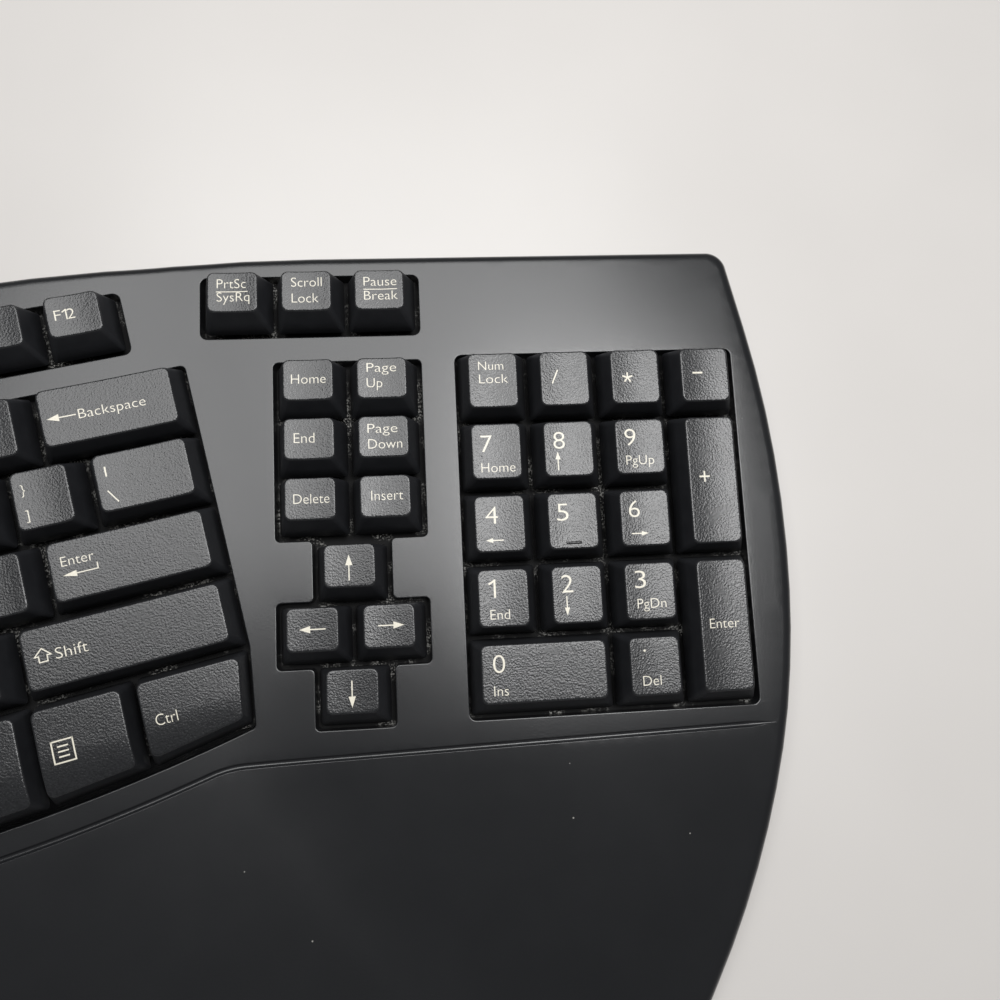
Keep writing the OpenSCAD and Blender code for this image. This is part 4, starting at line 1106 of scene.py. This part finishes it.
# Zinc-plated steel: grey metal with fine turning marks of about 0.2 mm.
steel = bpy.data.materials.new("zinc_plated_steel")
steel.use_nodes = True
tree = steel.node_tree
skin = tree.nodes["Principled BSDF"]
skin.inputs["Metallic"].default_value = 1.0
where = put(tree, "ShaderNodeTexCoord")
marks = put(tree, "ShaderNodeTexNoise", {"Scale": 1000 / 0.2, "Detail": 2.0}, {"Vector": (where, "Object")})
tone = put(
    tree, "ShaderNodeMix", {6: colour("#8a8b8c"), 7: colour("#b5b6b6")}, {0: (marks, "Fac")}, data_type="RGBA"
)
tree.links.new(tone.outputs[2], skin.inputs["Base Color"])
gloss = put(tree, "ShaderNodeMapRange", {"To Min": 0.3, "To Max": 0.5}, {"Value": (marks, "Fac")})
tree.links.new(gloss.outputs["Result"], skin.inputs["Roughness"])
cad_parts["case_screws"].data.materials.clear()
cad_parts["case_screws"].data.materials.append(steel)


# SWITCH LAYERS AND BOARD
# Inside: a moulded silicone mat with one dome for each key, printed contact sheets of clear film under it, and
# the controller board on two posts. They don't show from outside.

# Moulded silicone rubber, grey: soft, dull and faintly mottled.
silicone = bpy.data.materials.new("moulded_silicone_grey")
silicone.use_nodes = True
tree = silicone.node_tree
skin = tree.nodes["Principled BSDF"]
skin.inputs["Roughness"].default_value = 0.6
where = put(tree, "ShaderNodeTexCoord")
mottle = put(tree, "ShaderNodeTexNoise", {"Scale": 1000 / 3, "Detail": 3.0}, {"Vector": (where, "Object")})
tone = put(
    tree, "ShaderNodeMix", {6: colour("#85888c"), 7: colour("#9b9ea2")}, {0: (mottle, "Fac")}, data_type="RGBA"
)
tree.links.new(tone.outputs[2], skin.inputs["Base Color"])

# Polyester film with printed silver tracks: glossy and pale, crossed by grey lines 1.3 mm apart.
film = bpy.data.materials.new("printed_polyester_film")
film.use_nodes = True
tree = film.node_tree
skin = tree.nodes["Principled BSDF"]
skin.inputs["Roughness"].default_value = 0.25
where = put(tree, "ShaderNodeTexCoord")
tracks = put(
    tree,
    "ShaderNodeTexWave",
    {"Scale": 1000 / 1.3 / 6.28, "Distortion": 2.0},
    {"Vector": (where, "Object")},
)
lines = put(tree, "ShaderNodeMapRange", {"From Min": 0.6, "From Max": 0.8}, {"Value": (tracks, "Fac")})
tone = put(
    tree, "ShaderNodeMix", {6: colour("#d9d7cd"), 7: colour("#8d8e8f")}, {0: (lines, "Result")}, data_type="RGBA"
)
tree.links.new(tone.outputs[2], skin.inputs["Base Color"])

# Glass-epoxy board, green: solder mask over copper, a lighter green where the copper lies.
board = bpy.data.materials.new("green_glass_epoxy")
board.use_nodes = True
tree = board.node_tree
skin = tree.nodes["Principled BSDF"]
skin.inputs["Roughness"].default_value = 0.35
where = put(tree, "ShaderNodeTexCoord")
copper = put(tree, "ShaderNodeTexVoronoi", {"Scale": 1000 / 2.5}, {"Vector": (where, "Object")})
tone = put(
    tree, "ShaderNodeMix", {6: colour("#1f5a30"), 7: colour("#3b7d4a")}, {0: (copper, "Distance")}, data_type="RGBA"
)
tree.links.new(tone.outputs[2], skin.inputs["Base Color"])
for name, finish, kind in (
    ("dome_mat", silicone, "silicone_rubber"),
    ("contact_sheets", film, "clear_film"),
    ("controller_board", board, "circuit_board"),
):
    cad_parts[name].data.materials.clear()
    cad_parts[name].data.materials.append(finish)


# TABLE, LIGHT AND CAMERA
# A pale laminate table top with a soft gloss, two ceiling panels behind and to the right, a dim room that is
# paler toward the horizon, and a camera close above the keypad.

# Laminate, off-white: smooth and slightly glossy, with a very faint cloudiness.
laminate = bpy.data.materials.new("off_white_laminate")
laminate.use_nodes = True
tree = laminate.node_tree
skin = tree.nodes["Principled BSDF"]
where = put(tree, "ShaderNodeTexCoord")
cloud = put(tree, "ShaderNodeTexNoise", {"Scale": 1000 / 60, "Detail": 3.0}, {"Vector": (where, "Object")})
tone = put(
    tree, "ShaderNodeMix", {6: colour("#c2bfbc"), 7: colour("#c8c5c2")}, {0: (cloud, "Fac")}, data_type="RGBA"
)
tree.links.new(tone.outputs[2], skin.inputs["Base Color"])
skin.inputs["Roughness"].default_value = 0.32
table_mesh = bpy.data.meshes.new("table")
table_mesh.from_pydata([(-4, -4, 0), (4, -4, 0), (4, 4, 0), (-4, 4, 0)], [], [(0, 1, 2, 3)])
table_mesh.materials.append(laminate)
table = bpy.data.objects.new("table", table_mesh)
bpy.context.scene.collection.objects.link(table)

room = bpy.data.worlds.new("room")
room.use_nodes = True
tree = room.node_tree
where = put(tree, "ShaderNodeTexCoord")
part = put(tree, "ShaderNodeSeparateXYZ", links={"Vector": (where, "Generated")})
rise = put(
    tree,
    "ShaderNodeMapRange",
    {"From Min": 0.0, "From Max": 0.5, "To Min": 0.36, "To Max": 0.1},
    {"Value": (part, "Z")},
)
sky = tree.nodes["Background"]
sky.inputs["Color"].default_value = colour("#f4f2ef")
tree.links.new(rise.outputs["Result"], sky.inputs["Strength"])
bpy.context.scene.world = room

# two soft panels overhead, facing down: a strong one over the keypad and a broad weak one behind the hands
panel_height = 0.765
for name, place, wide, deep, watts in (
    ("panel_right", (0.33, 0.105, panel_height), 0.26, 0.35, 3.4),
    ("panel_rear", (0.085, 0.345, panel_height), 0.62, 0.69, 6.4),
):
    panel = bpy.data.lights.new(name, "AREA")
    panel.shape = "RECTANGLE"
    panel.size, panel.size_y = wide, deep
    panel.energy = watts
    hung = bpy.data.objects.new(name, panel)
    hung.location = place
    bpy.context.scene.collection.objects.link(hung)

eye = bpy.data.cameras.new("camera")
eye.sensor_width = 36.0
eye.lens = 28.92
eye.clip_start = 0.01
camera = bpy.data.objects.new("camera", eye)
across, upward, back = (0.99629, -0.05168, 0.06881), (0.03856, 0.98292, 0.17996), (-0.07693, -0.17664, 0.98126)
camera.matrix_world = Matrix.Translation((0.145759, 0.009480, 0.23179)) @ Matrix(
    (across, upward, back)
).transposed().to_4x4()
bpy.context.scene.collection.objects.link(camera)
bpy.context.scene.camera = camera
bpy.context.scene.view_settings.view_transform = "Standard"
